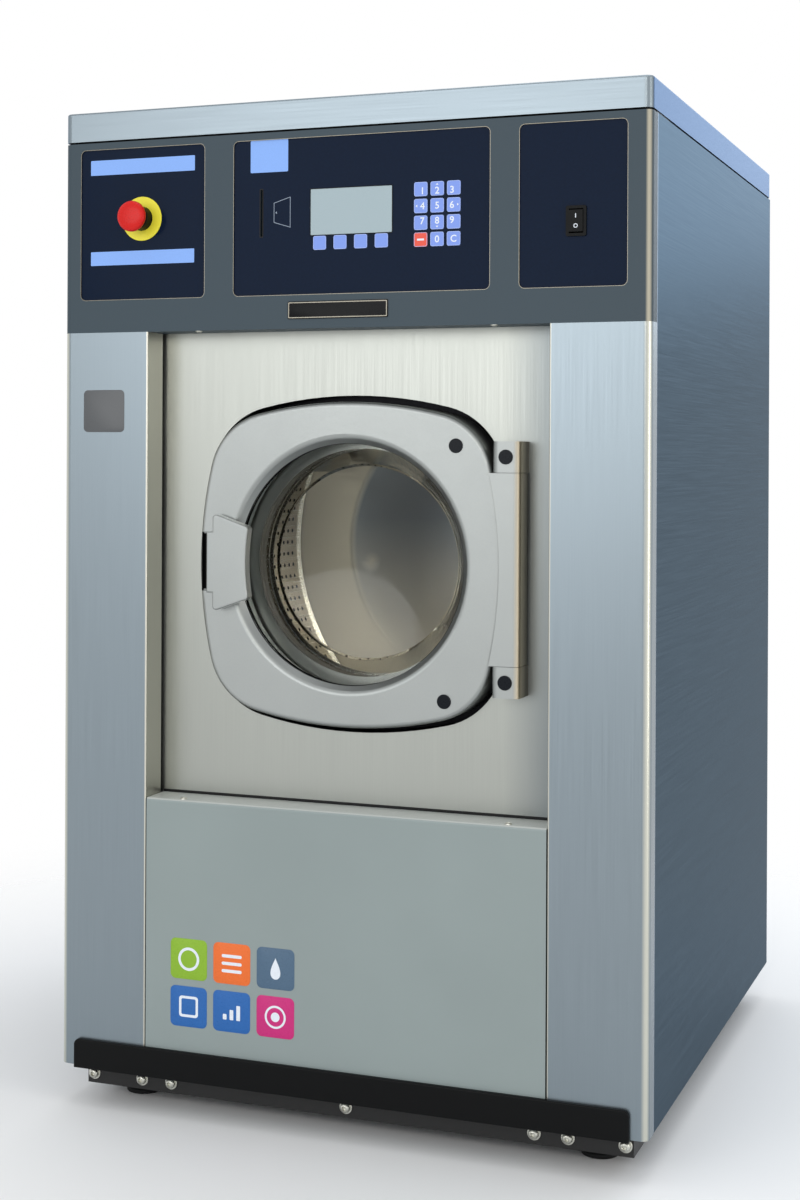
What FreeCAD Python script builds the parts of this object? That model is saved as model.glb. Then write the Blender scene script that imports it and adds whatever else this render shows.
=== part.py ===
# Front-loading washer-extractor with a soft-mounted drum, built as a parametric document in millimetres.
# X runs to the right, Y to the back and Z up; the origin is under the middle of the machine, on the floor.
import FreeCAD, Part
import math
import os
import Sketcher

SIZES = {
    # cabinet
    "cabinet_width": 788, "cabinet_depth": 826, "cabinet_height": 1302, "panel_wall": 1.5,
    "side_flange": 8, "corner_radius": 10, "lid_height": 38, "lid_gap": 2.5, "lid_overhang": 2,
    "lid_edge": 2.5,
    # base frame and feet
    "foot_height": 20, "foot_radius": 24, "foot_inset": 55, "foot_nut_height": 10, "foot_nut_radius": 11,
    "foot_stem_radius": 6, "base_height": 32, "base_setback": 30, "base_inset": 24, "base_wall": 4,
    "base_rail": 90, "anchor_radius": 7, "anchor_inset": 140,
    "base_bolt_rise": 13.5, "base_bolt_edge": 10, "base_bolt_pair": 42.5, "base_bolt_step": 71,
    "base_bolt_head": 7.5, "base_bolt_head_height": 5.5, "base_washer_radius": 8.5, "base_washer_wall": 1.6,
    "base_bolt_radius": 4, "base_bolt_length": 10,
    # recessed front
    "column_width": 124, "column_wrap": 28, "column_return": 41, "column_bend": 1.8, "recess_depth": 48,
    "front_sheet": 2, "front_flange": 15, "panel_seam": 1.3, "ledge_height": 410, "ledge_bend": 4,
    "kick_width": 744, "kick_height": 38, "kick_drop": 2.5, "kick_wall": 6, "kick_corner": 8,
    "kick_edge": 1.8,
    "screw_radius": 4.5, "screw_head": 2, "ledge_screw_spread": 438, "ledge_screw_depth": 8,
    "lip_screw_spread": 398, "lip_screw_depth": 6,
    # control fascia
    "fascia_height": 248.5, "fascia_wall": 6, "fascia_lip": 3, "window_sill": 42, "window_head": 8.5,
    "window_depth": 3, "window_corner": 7.5, "overlay_wall": 1, "overlay_gap": 0.2,
    "left_margin": 24, "left_bar": 40, "centre_window_width": 343.5, "centre_window_x": 23.25,
    "right_bar": 36, "right_margin": 29,
    "display_width": 110, "display_height": 58.4, "display_x": 10.3, "display_z": 4.5, "display_wall": 1.6,
    "card_slot_width": 3, "card_slot_height": 59.5, "card_slot_x": 132.8, "card_slot_z": 6,
    "key_size": 17.4, "key_corner": 2.5, "key_gap": 0.3, "key_wall": 1.2, "key_travel_gap": 0.6,
    "keypad_x": 103.3, "keypad_z": 4.2, "keypad_column_pitch": 21.35, "keypad_row_pitch": 20.6,
    "soft_key_x": 11.1, "soft_key_drop": 34.2, "soft_key_pitch": 27.6,
    # stop button and power switch
    "stop_disc_radius": 28.5, "stop_disc_wall": 1.5, "stop_collar_radius": 15.7, "stop_collar_length": 14.5,
    "stop_barrel_radius": 11, "stop_barrel_length": 16, "stop_nut_radius": 15, "stop_nut_wall": 5,
    "stop_stem_radius": 6, "stop_stem_gap": 0.3, "stop_stem_length": 30, "stop_cap_radius": 19.7,
    "stop_cap_height": 13, "stop_cap_edge": 3, "stop_travel_gap": 6, "stop_x": 90, "stop_z": 6,
    "switch_width": 25, "switch_height": 36.4, "switch_bezel_wall": 2.5, "switch_border": 3.6,
    "switch_body_depth": 22, "switch_wall": 2, "switch_x": 63, "switch_drop": 20, "rocker_gap": 0.3,
    "rocker_swing_gap": 1.6, "rocker_depth": 9, "rocker_rise": 1.5, "rocker_pivot_depth": 8,
    "rocker_pivot_radius": 2, "running_gap": 0.05,
    # control box behind the fascia
    "control_box_setback": 30, "control_box_depth": 70, "control_box_rise": 60,
    # door
    "door_half": 205, "door_side_radius": 530, "door_corner_radius": 88, "door_rise": 5, "door_setback": 22,
    "door_thickness": 56, "door_wall": 8, "door_gap": 8.5, "door_edge": 6, "bucket_depth": 38,
    "mouth_radius": 150, "opening_radius": 161, "opening_edge": 8, "funnel_radius": 153, "funnel_depth": 10,
    "seat_radius": 166, "seat_wall": 8, "gasket_wall": 2.4, "gasket_gap": 0.3, "glass_rim_wall": 9,
    "glass_rim_radius": 161, "glass_wall": 7, "bowl_radius": 124, "bowl_depth": 60, "dome_height": 13,
    "plug_radius": 9, "plug_wall": 1.6, "upper_plug_x": 145, "upper_plug_z": 150, "lower_plug_x": 131,
    "lower_plug_z": 165,
    # hinge
    "hinge_width": 35, "hinge_right": 231, "hinge_front": 14, "hinge_arm_half": 117, "hinge_arm_depth": 34,
    "hinge_gap": 0.5, "hinge_block_height": 38, "hinge_edge": 8, "hinge_pin_radius": 7, "hinge_pin_inset": 14,
    "hinge_pin_depth": 16, "hinge_pin_reach": 45, "fit_gap": 0.3,
    # handle
    "handle_stand": 4, "handle_wall": 14, "handle_edge": 18.5, "handle_width": 59, "handle_shoulder": 8.5,
    "handle_half": 63, "handle_tip_half": 45.5, "handle_tab_half": 39, "handle_sag": 4, "handle_corner": 5,
    "handle_round": 2,
    "notch_edge": 3, "notch_width": 26, "notch_half": 38, "handle_pivot_x": 23.5, "handle_pivot_depth": 12,
    "lever_width": 8, "lever_half": 34, "lever_depth": 24, "lever_foot": 8, "handle_pin_radius": 4,
    "lug_gap": 2, "lug_wall": 8, "lug_depth": 16, "tongue_edge": 10, "tongue_wall": 5, "tongue_half": 10,
    "tongue_reach": 6, "lip_slot_left": 2, "lip_slot_width": 35, "lip_slot_half": 16,
    "lock_height": 52, "lock_depth": 22, "lock_wall": 2, "lock_edge": 4, "lock_side": 3,
    # tub, drum and suspension
    "tub_radius": 335, "tub_wall": 3, "bellows_length": 28, "bellows_outer": 160, "bellows_fold": 6,
    "bellows_wall": 3, "drive_space": 226, "drum_radius": 305, "drum_wall": 2, "drum_back_wall": 5,
    "drum_front_gap": 14, "drum_back_gap": 20, "drum_edge": 14, "lifter_height": 55, "lifter_width": 60,
    "shaft_radius": 30, "tub_hub_radius": 45, "housing_radius": 62, "housing_flange_radius": 130,
    "housing_flange_wall": 14, "housing_length": 120, "pulley_radius": 150, "pulley_width": 30,
    "pulley_web": 8, "pulley_rim": 12, "pulley_back_gap": 22, "belt_wall": 7, "belt_gap": 0.4,
    "motor_radius": 80, "motor_length": 210, "motor_x": 130, "motor_drop": 430, "motor_pulley_radius": 30,
    "motor_shaft_radius": 12, "motor_shaft_bore": 60, "motor_bracket_width": 90, "motor_pulley_gap": 20,
    "strut_inset": 52, "strut_front": 205, "strut_rear": 230, "strut_drop": 280, "strut_lug_half": 24,
    "strut_lug_reach": 60, "strut_plate": 8, "damper_radius": 22, "damper_length": 190, "rod_radius": 10,
    "rod_overlap": 90,
    "spring_radius": 36, "spring_wire": 6, "spring_seat_rise": 70, "spring_seat_wall": 6,
    # rear panel and connections
    "cover_width": 380, "cover_height": 320, "cover_edge": 10, "louvre_width": 260, "louvre_height": 9,
    "louvre_pitch": 26, "valve_spread": 90, "valve_x": 210, "valve_drop": 110, "valve_body": 46,
    "inlet_radius": 13.2, "inlet_bore": 9, "inlet_reach": 24, "hole_gap": 0.6, "spigot_collar": 3,
    "gland_x": 220, "gland_radius": 12, "gland_bore": 7, "gland_reach": 18, "gland_nut_radius": 18,
    "gland_nut_wall": 6,
    "drain_radius": 37.5, "drain_bore": 34, "drain_reach": 42, "drain_rise": 75, "drain_body": 130,
    "drain_body_depth": 100, "drain_wall": 4,
}
LOUVRES = 9
LIFTERS = 3
KEYPAD = (("key_1", "key_2", "key_3"), ("key_4", "key_5", "key_6"),
          ("key_7", "key_8", "key_9"), ("key_stop", "key_0", "key_clear"))
SOFT_KEYS = ("soft_key_1", "soft_key_2", "soft_key_3", "soft_key_4")
PAST = 1.0  # how far a cutting tool runs past the face that it opens

doc = FreeCAD.newDocument("washer_extractor")
sheet = doc.addObject("Spreadsheet::Sheet", "Sizes")
for row, (name, number) in enumerate(SIZES.items(), 1):
    sheet.set("A%d" % row, name)
    sheet.set("B%d" % row, str(number))
    sheet.setAlias("B%d" % row, name)
derived = doc.addObject("Spreadsheet::Sheet", "Lines")
doc.recompute()
nodes = {}


class Size:
    """A length that knows its number now and the formula that gives it from the sheet."""

    def __init__(self, number, formula):
        self.number = float(number)
        self.formula = formula

    def __add__(self, other):
        other = size(other)
        return Size(self.number + other.number, "(%s + %s)" % (self.formula, other.formula))

    def __sub__(self, other):
        other = size(other)
        return Size(self.number - other.number, "(%s - %s)" % (self.formula, other.formula))

    def __mul__(self, other):
        other = size(other)
        return Size(self.number * other.number, "(%s * %s)" % (self.formula, other.formula))

    def __truediv__(self, other):
        other = size(other)
        return Size(self.number / other.number, "(%s / %s)" % (self.formula, other.formula))

    def __neg__(self):
        return Size(-self.number, "(0 - %s)" % self.formula)

    def __radd__(self, other):
        return size(other) + self

    def __rsub__(self, other):
        return size(other) - self

    def __rmul__(self, other):
        return size(other) * self


class Sheet:
    """Gives each cell of the sheet as a Size, by its alias."""

    def __getattr__(self, alias):
        return Size(sheet.get(alias), "Sizes." + alias)


S = Sheet()


def size(value):
    return value if isinstance(value, Size) else Size(value, repr(float(value)))


def root(value):
    return Size(math.sqrt(value.number), "sqrt(%s)" % value.formula)


def line(name, value):
    """Keeps a worked-out length in a cell of its own, so that what uses it has a short formula."""
    cell = "B%d" % (1 + len(derived.getNonEmptyCells()))
    derived.set(cell, "=" + value.formula)
    derived.setAlias(cell, name)
    return Size(value.number, "Lines." + name)


def lines(name, values):
    return tuple(line("%s_%d" % (name, i), size(value)) for i, value in enumerate(values))


def bind(item, prop, value):
    """Ties a property of a document object to the sheet."""
    item.setExpression(prop, size(value).formula)


def place(item, x=0, y=0, z=0):
    for axis, value in zip("xyz", (x, y, z)):
        bind(item, "Placement.Base." + axis, value)
    return item


def keep(node, item):
    """Names the finished sub-part; the label is also the name of its file."""
    item.Label = node
    nodes[node] = item
    return item


# Plain solids and booleans

def box(name, x, y, z):
    """A block between two values on each axis."""
    item = doc.addObject("Part::Box", name)
    for prop, (low, high) in zip(("Length", "Width", "Height"), (x, y, z)):
        bind(item, prop, size(high) - low)
    return place(item, x[0], y[0], z[0])


AXES = {"x": FreeCAD.Rotation(FreeCAD.Vector(0, 1, 0), 90),
        "y": FreeCAD.Rotation(FreeCAD.Vector(1, 0, 0), -90),
        "z": FreeCAD.Rotation()}


def cylinder(name, axis, radius, start, length):
    """A round bar that starts at a point and runs up one axis."""
    item = doc.addObject("Part::Cylinder", name)
    item.Placement = FreeCAD.Placement(FreeCAD.Vector(), AXES[axis])
    bind(item, "Radius", radius)
    bind(item, "Height", length)
    return place(item, *start)


def hexagon(name, axis, radius, start, length):
    item = doc.addObject("Part::Prism", name)
    item.Placement = FreeCAD.Placement(FreeCAD.Vector(), AXES[axis])
    item.Polygon = 6
    bind(item, "Circumradius", radius)
    bind(item, "Height", length)
    return place(item, *start)


def cut(name, base, *tools):
    item = doc.addObject("Part::Cut", name)
    item.Base = base
    item.Tool = tools[0] if len(tools) == 1 else fuse(name + "_tools", *tools)
    return item


def fuse(name, *pieces):
    item = doc.addObject("Part::MultiFuse", name)
    item.Shapes = list(pieces)
    return item


def group(name, *pieces):
    item = doc.addObject("Part::Compound", name)
    item.Links = list(pieces)
    return item


# Sketched bodies

def circle(x, y, radius):
    return ("circle", size(x), size(y), size(radius))


def path(corners, arcs=None):
    """A closed line through corner points; arcs gives the centre of the edge that starts at a corner."""
    return ("path", [(size(x), size(y)) for x, y in corners],
            {i: (size(x), size(y)) for i, (x, y) in (arcs or {}).items()})


def outline(*corners):
    """A closed line of level and upright edges; a third value rounds that corner."""
    points, arcs = [], {}
    plain = [(size(c[0]), size(c[1])) for c in corners]
    for i, corner in enumerate(corners):
        x, y = plain[i]
        if len(corner) == 2:
            points.append((x, y))
            continue
        radius = size(corner[2])
        before, after = plain[i - 1], plain[(i + 1) % len(plain)]
        came, goes = heading(before, (x, y)), heading((x, y), after)
        arcs[len(points)] = (x - came[0] * radius + goes[0] * radius, y - came[1] * radius + goes[1] * radius)
        points.append((x - came[0] * radius, y - came[1] * radius))
        points.append((x + goes[0] * radius, y + goes[1] * radius))
    return path(points, arcs)


def heading(start, end):
    dx, dy = end[0].number - start[0].number, end[1].number - start[1].number
    return (math.copysign(1, dx), 0) if abs(dx) > abs(dy) else (0, math.copysign(1, dy))


def rectangle(x0, x1, y0, y1, radius=None):
    corners = [(x0, y0), (x1, y0), (x1, y1), (x0, y1)]
    if radius is not None:
        corners = [(x, y, radius) for x, y in corners]
    return outline(*corners)


def squircle(name, grow):
    """The door's outline, moved outwards by grow: four bowed sides joined by four round corners."""
    side = S.door_side_radius + grow
    centre = S.door_half - S.door_side_radius
    reach = S.door_side_radius - S.door_corner_radius
    inner = line(name + "_corner", (centre + root(reach * reach * 2 - centre * centre)) / 2)
    far = line(name + "_far", centre + side * (inner - centre) / reach)
    near = line(name + "_near", side * inner / reach)
    turns = ((1, 0), (0, 1), (-1, 0), (0, -1))
    points, arcs = [], {}
    for c, s in turns:
        arcs[len(points)] = (centre * c, centre * s)
        points.append((far * c + near * s, far * s - near * c))
        arcs[len(points)] = (inner * c - inner * s, inner * s + inner * c)
        points.append((far * c - near * s, far * s + near * c))
    return path(points, arcs)


def draw(body, name, plane, loops, rise=0):
    """A sketch on one of the body's own planes, with every point tied to the sheet."""
    sketch = body.newObject("Sketcher::SketchObject", name)
    support = [f for f in body.Origin.OriginFeatures if f.Role == plane + "_Plane"][0]
    sketch.AttachmentSupport = (support, "")
    sketch.MapMode = "FlatFace"
    bind(sketch, "AttachmentOffset.Base.z", rise)
    for loop in loops:
        if loop[0] == "circle":
            draw_circle(sketch, *loop[1:])
        else:
            draw_path(sketch, *loop[1:])
    return sketch


def fix(sketch, element, point, x=None, y=None):
    for kind, value in (("DistanceX", x), ("DistanceY", y)):
        if value is not None:
            index = sketch.addConstraint(Sketcher.Constraint(kind, -1, 1, element, point, value.number))
            bind(sketch, "Constraints[%d]" % index, value)


def draw_circle(sketch, x, y, radius):
    middle = FreeCAD.Vector(x.number, y.number, 0)
    element = sketch.addGeometry(Part.Circle(middle, FreeCAD.Vector(0, 0, 1), radius.number))
    fix(sketch, element, 3, x, y)
    index = sketch.addConstraint(Sketcher.Constraint("Radius", element, radius.number))
    bind(sketch, "Constraints[%d]" % index, radius)


def draw_path(sketch, points, arcs):
    vectors = [FreeCAD.Vector(x.number, y.number, 0) for x, y in points]
    elements = []
    for i, start in enumerate(vectors):
        end = vectors[(i + 1) % len(vectors)]
        if i not in arcs:
            elements.append((sketch.addGeometry(Part.LineSegment(start, end)), 1, 2))
            continue
        middle = FreeCAD.Vector(arcs[i][0].number, arcs[i][1].number, 0)
        forward = (start - middle).cross(end - middle).z > 0
        first, last = (start, end) if forward else (end, start)
        angles = [math.atan2(p.y - middle.y, p.x - middle.x) for p in (first, last)]
        ring = Part.Circle(middle, FreeCAD.Vector(0, 0, 1), (start - middle).Length)
        element = sketch.addGeometry(Part.ArcOfCircle(ring, angles[0], angles[1]))
        elements.append((element, 1, 2) if forward else (element, 2, 1))
    for i, (element, begin, finish) in enumerate(elements):
        following = elements[(i + 1) % len(elements)]
        sketch.addConstraint(Sketcher.Constraint("Coincident", element, finish, following[0], following[1]))
        fix(sketch, element, begin, *points[i])
    for i, (x, y) in arcs.items():
        chord = vectors[(i + 1) % len(vectors)] - vectors[i]
        if abs(chord.x) > abs(chord.y):
            fix(sketch, elements[i][0], 3, y=y)
        else:
            fix(sketch, elements[i][0], 3, x=x)


def feature(body, kind, name, sketch, reverse=False, **lengths):
    item = body.newObject("PartDesign::" + kind, name)
    item.Profile = sketch
    item.Reversed = reverse
    for prop, value in lengths.items():
        bind(item, prop, value)
    return item


def new_body(name, x=0, y=0, z=0):
    return place(doc.addObject("PartDesign::Body", name), x, y, z)


def plate(name, plane, loops, length, at=(0, 0, 0)):
    """A sheet or bar of one outline: XZ runs to the back, XY runs up and YZ runs to the right."""
    body = new_body(name, *at)
    sketch = draw(body, name + "_outline", plane, loops)
    feature(body, "Pad", name + "_pad", sketch, reverse=plane == "XZ", Length=length)
    return body


def turned(name, profile, at=(0, 0, 0)):
    """A piece turned about a line to the back: the profile gives radius and depth."""
    body = new_body(name, *at)
    sketch = draw(body, name + "_profile", "XY", [profile])
    item = body.newObject("PartDesign::Revolution", name + "_turn")
    item.Profile = sketch
    item.ReferenceAxis = (sketch, ["V_Axis"])
    item.Angle = 360
    return body


def soften(body, name, radius, wanted):
    """Rounds the edges of the body so far whose middle point, in the body's own frame, passes the test."""
    base = body.Tip
    base.recompute(True)
    edges = ["Edge%d" % (i + 1) for i, edge in enumerate(base.Shape.Edges)
             if wanted(edge.valueAt((edge.FirstParameter + edge.LastParameter) / 2), edge)]
    item = body.newObject("PartDesign::Fillet", name)
    item.Base = (base, edges)
    bind(item, "Radius", radius)
    return item


def near(a, b):
    return abs(a - size(b).number) < 0.01


# Lines that many pieces share

half = line("half_at", S.cabinet_width / 2)
overlay_front = line("overlay_front_at", S.window_depth - S.overlay_wall)
stop_stack = S.stop_disc_wall + S.stop_collar_length + S.stop_travel_gap + S.stop_cap_height
stop_reach = line("stop_reach_at", stop_stack - overlay_front)
rear_reach = S.drain_reach + S.spigot_collar - S.lid_overhang
front = line("front_at", (stop_reach - S.cabinet_depth - rear_reach) / 2)
back = line("back_at", front + S.cabinet_depth)
rear_face = line("rear_face_at", back - S.lid_overhang)
rear_inside = line("rear_inside_at", rear_face - S.panel_wall)
base_top = line("base_top_at", S.foot_height + S.base_height)
base_half = line("base_half_at", half - S.base_inset)
base_front = line("base_front_at", front + S.base_setback)
base_back = line("base_back_at", back - S.base_setback)
lid_bottom = line("lid_bottom_at", S.cabinet_height - S.lid_height)
lid_inside = line("lid_inside_at", S.cabinet_height - S.panel_wall)
cabinet_top = line("cabinet_top_at", lid_bottom - S.lid_gap)
fascia_bottom = line("fascia_bottom_at", cabinet_top - S.fascia_height)
column_inner = line("column_inner_at", half - S.column_width)
panel_front = line("panel_front_at", front + S.recess_depth)
door_z = line("door_z_at", (S.ledge_height + fascia_bottom) / 2 + S.door_rise)
door_front = line("door_front_at", front + S.door_setback)
bucket_back = line("bucket_back_at", panel_front + S.bucket_depth)
tub_front = line("tub_front_at", bucket_back + S.bellows_length)
tub_back = line("tub_back_at", rear_inside - S.drive_space)


def mirrored(left_name, right_name, make):
    for node, side in ((left_name, -1), (right_name, 1)):
        keep(node, make(node, side))


# Base frame, feet and bolts

def base_frame():
    rail_x, rail_y = base_half - S.base_rail, (base_front + S.base_rail, base_back - S.base_rail)
    tools = [
        box("base_middle", (-rail_x, rail_x), rail_y, (S.foot_height - PAST, base_top + PAST)),
        box("base_channel", (S.base_wall - base_half, base_half - S.base_wall),
            (base_front + S.base_wall, base_back - S.base_wall),
            (S.foot_height + S.base_wall, base_top - S.base_wall)),
    ]
    below = S.foot_height - PAST
    for i, (x, y) in enumerate(foot_places()):
        tools.append(cylinder("base_foot_hole_%d" % i, "z", S.foot_stem_radius + S.fit_gap, (x, y, below),
                              S.base_wall + PAST * 2))
    for i, (x, y) in enumerate(anchor_places()):
        tools.append(cylinder("base_anchor_hole_%d" % i, "z", S.anchor_radius, (x, y, below),
                              S.base_wall + PAST * 2))
    for i, x in enumerate(base_bolt_places()):
        start = (x, base_front - PAST, S.foot_height + S.base_bolt_rise)
        tools.append(cylinder("base_bolt_hole_%d" % i, "y", S.base_bolt_radius + S.fit_gap, start,
                              S.base_wall + PAST * 2))
    blank = box("base_blank", (-base_half, base_half), (base_front, base_back), (S.foot_height, base_top))
    keep("base_frame", cut("base_frame_cut", blank, *tools))


def foot_places():
    x = base_half - S.foot_inset
    return [(x * side, y) for side in (-1, 1) for y in (base_front + S.foot_inset, base_back - S.foot_inset)]


def anchor_places():
    x = base_half - S.base_rail / 2
    return [(x * side, y) for side in (-1, 1)
            for y in (base_front + S.anchor_inset, base_back - S.anchor_inset)]


def base_bolt_places():
    outer = base_half - S.base_bolt_edge
    spots = [outer, outer - S.base_bolt_step, outer - S.base_bolt_step - S.base_bolt_pair]
    return [size(0)] + [spot * side for spot in spots for side in (-1, 1)]


def levelling_feet():
    feet = []
    pad = S.foot_height - S.foot_nut_height
    for i, (x, y) in enumerate(foot_places()):
        feet.append(fuse(
            "foot_%d" % i,
            cylinder("foot_pad_%d" % i, "z", S.foot_radius, (x, y, 0), pad),
            hexagon("foot_nut_%d" % i, "z", S.foot_nut_radius, (x, y, pad), S.foot_nut_height),
            cylinder("foot_stem_%d" % i, "z", S.foot_stem_radius, (x, y, pad),
                     S.foot_nut_height + S.base_height / 2)))
    keep("levelling_feet", group("levelling_feet_group", *feet))


def base_bolts():
    bolts = []
    z = S.foot_height + S.base_bolt_rise
    washer_front = base_front - S.base_washer_wall
    for i, x in enumerate(base_bolt_places()):
        bolts.append(fuse(
            "base_bolt_%d" % i,
            cylinder("base_washer_%d" % i, "y", S.base_washer_radius, (x, washer_front, z),
                     S.base_washer_wall),
            hexagon("base_bolt_head_%d" % i, "y", S.base_bolt_head,
                    (x, washer_front - S.base_bolt_head_height, z), S.base_bolt_head_height),
            cylinder("base_bolt_shank_%d" % i, "y", S.base_bolt_radius, (x, washer_front, z),
                     S.base_bolt_length)))
    keep("base_bolts", group("base_bolts_group", *bolts))


# Outer casing

def side_panel(name, side):
    foot = base_half - S.side_flange
    start = front + S.column_wrap + S.fit_gap
    profile = outline((half * side, base_top, S.column_bend), (half * side, cabinet_top),
                      ((half - S.panel_wall) * side, cabinet_top),
                      ((half - S.panel_wall) * side, base_top + S.panel_wall),
                      (foot * side, base_top + S.panel_wall), (foot * side, base_top))
    return plate(name, "XZ", [profile], rear_face - start, (0, start, 0))


def rear_panel():
    edge = half - S.panel_wall
    neck = edge - S.corner_radius
    loops = [outline((-edge, base_top + S.panel_wall), (edge, base_top + S.panel_wall), (edge, cabinet_top),
                     (neck, cabinet_top), (neck, lid_inside), (-neck, lid_inside), (-neck, cabinet_top),
                     (-edge, cabinet_top))]
    loops += louvres(door_z)
    for x, z in valve_places():
        loops.append(circle(x, z, S.inlet_radius + S.spigot_collar + S.hole_gap))
    loops.append(circle(S.gland_x, valve_z(), S.gland_radius + S.hole_gap))
    loops.append(circle(0, base_top + S.drain_rise, S.drain_radius + S.spigot_collar + S.hole_gap))
    keep("rear_panel", plate("rear_panel", "XZ", loops, S.panel_wall, (0, rear_inside, 0)))


def louvres(middle):
    """Level slots, one above the other, about a height."""
    slots = []
    for i in range(LOUVRES):
        level = middle + (i - (LOUVRES - 1) / 2) * S.louvre_pitch
        slots.append(rectangle(-S.louvre_width / 2, S.louvre_width / 2, level, level + S.louvre_height))
    return slots


def rear_cover():
    x, z = S.cover_width / 2, S.cover_height / 2
    loops = [rectangle(-x, x, -z, z, S.cover_edge)] + louvres(0)
    keep("rear_cover", plate("rear_cover", "XZ", loops, S.panel_wall, (0, rear_face, door_z)))


def top_cover():
    body = new_body("top_cover", 0, front, lid_bottom)
    skin = rectangle(-half, half, 0, S.cabinet_depth, S.corner_radius)
    feature(body, "Pad", "lid_block", draw(body, "lid_outline", "XY", [skin]), Length=S.lid_height)
    wall, edge = S.panel_wall, half - S.panel_wall
    hollow = rectangle(-edge, edge, wall, S.cabinet_depth - wall, S.corner_radius - wall)
    feature(body, "Pocket", "lid_hollow", draw(body, "lid_inside", "XY", [hollow]), reverse=True,
            Length=S.lid_height - wall)
    soften(body, "lid_rounding", S.lid_edge, lambda p, e: near(p.z, S.lid_height))
    keep("top_cover", body)


def front_column(name, side):
    wall, bend = S.panel_wall, S.column_bend
    profile = outline((column_inner * side, S.column_return), (column_inner * side, 0, bend),
                      (half * side, 0, S.corner_radius), (half * side, S.column_wrap),
                      ((half - wall) * side, S.column_wrap),
                      ((half - wall) * side, wall, S.corner_radius - wall),
                      ((column_inner + wall) * side, wall), ((column_inner + wall) * side, S.column_return))
    return plate(name, "XY", [profile], fascia_bottom - base_top, (0, front, base_top))


def front_panel():
    body = new_body("front_panel", 0, panel_front, door_z)
    edge = column_inner + S.front_flange
    sheet_outline = rectangle(-edge, edge, base_top - door_z, fascia_bottom - door_z)
    hole = squircle("panel_hole", S.door_gap)
    rim = squircle("panel_rim", S.door_gap + S.front_sheet)
    feature(body, "Pad", "panel_sheet", draw(body, "panel_outline", "XZ", [sheet_outline, hole]),
            reverse=True, Length=S.front_sheet)
    feature(body, "Pad", "panel_bucket", draw(body, "bucket_outline", "XZ", [rim, hole]),
            reverse=True, Length=S.bucket_depth)
    slot_left = S.lip_slot_left - S.door_half
    slot = rectangle(slot_left, slot_left + S.lip_slot_width, -S.lip_slot_half, S.lip_slot_half)
    lip = [rim, circle(0, 0, S.mouth_radius), slot]
    feature(body, "Pad", "panel_lip", draw(body, "lip_outline", "XZ", lip, S.front_sheet - S.bucket_depth),
            reverse=True, Length=S.front_sheet)
    keep("front_panel", body)


def lower_front_panel():
    wall = S.panel_wall
    profile = outline((S.recess_depth, S.ledge_height), (0, S.ledge_height, S.ledge_bend),
                      (0, base_top, S.column_bend), (S.column_return, base_top),
                      (S.column_return, base_top + wall), (wall, base_top + wall),
                      (wall, S.ledge_height - wall, S.ledge_bend - wall),
                      (S.recess_depth, S.ledge_height - wall))
    edge = column_inner - S.panel_seam
    keep("lower_front_panel", plate("lower_front_panel", "YZ", [profile], edge * 2, (-edge, front, 0)))


def kick_bar():
    edge = S.kick_width / 2
    shape = outline((-edge, 0), (edge, 0), (edge, S.kick_height, S.kick_corner),
                    (-edge, S.kick_height, S.kick_corner))
    body = plate("kick_bar", "XZ", [shape], S.kick_wall, (0, front - S.kick_wall, base_top - S.kick_drop))
    soften(body, "kick_rounding", S.kick_edge, lambda p, e: near(p.y, 0))
    keep("kick_bar", body)


def panel_screws():
    heads = []
    ledge_y, lip_y = front + S.ledge_screw_depth, front + S.lip_screw_depth
    for side in (-1, 1):
        spot = (S.ledge_screw_spread / 2 * side, ledge_y, S.ledge_height)
        heads.append(cylinder("ledge_screw", "z", S.screw_radius, spot, S.screw_head))
        spot = (S.lip_screw_spread / 2 * side, lip_y, fascia_bottom - S.screw_head)
        heads.append(cylinder("lip_screw", "z", S.screw_radius, spot, S.screw_head))
        for level in (-1, 0, 1):
            x = S.cover_width / 2 - S.cover_edge
            z = door_z + (S.cover_height / 2 - S.cover_edge) * level
            heads.append(cylinder("cover_screw", "y", S.screw_radius, (x * side, rear_face + S.panel_wall, z),
                                  S.screw_head))
    keep("panel_screws", group("panel_screws_group", *heads))


# Control fascia and what sits in its windows

window_bottom = line("window_bottom_at", S.window_sill)
window_top = line("window_top_at", S.fascia_height - S.window_head)
window_middle = line("window_middle_at", fascia_bottom + (window_bottom + window_top) / 2)
centre_middle = S.centre_window_x
centre_window = lines("centre_window", (centre_middle - S.centre_window_width / 2,
                                        centre_middle + S.centre_window_width / 2))
left_window = lines("left_window", (S.left_margin - half, centre_window[0] - S.left_bar))
right_window = lines("right_window", (centre_window[1] + S.right_bar, half - S.right_margin))
display_at = lines("display_at", (centre_middle - S.display_x, window_middle + S.display_z))
slot_at = lines("slot_at", (centre_middle - S.card_slot_x, window_middle + S.card_slot_z))
keypad_at = lines("keypad_at", (centre_middle + S.keypad_x, window_middle - S.keypad_z))
soft_keys_at = lines("soft_keys_at", (centre_middle - S.soft_key_x, window_middle - S.soft_key_drop))
stop_at = lines("stop_at", (left_window[0] + S.stop_x, window_middle + S.stop_z))
switch_at = lines("switch_at", (right_window[1] - S.switch_x, window_middle - S.switch_drop))


def around(centre, width, height, base_z, radius=None):
    """A rectangle about a place on the fascia, in a body that stands at base_z."""
    x, z = centre[0], centre[1] - base_z
    return rectangle(x - width / 2, x + width / 2, z - height / 2, z + height / 2, radius)


def key_places():
    places = {}
    for i, names in enumerate(KEYPAD):
        for j, name in enumerate(names):
            places[name] = (keypad_at[0] + (j - 1) * S.keypad_column_pitch,
                            keypad_at[1] + (1.5 - i) * S.keypad_row_pitch)
    for j, name in enumerate(SOFT_KEYS):
        places[name] = (soft_keys_at[0] + (j - 1.5) * S.soft_key_pitch, soft_keys_at[1])
    return places


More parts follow.
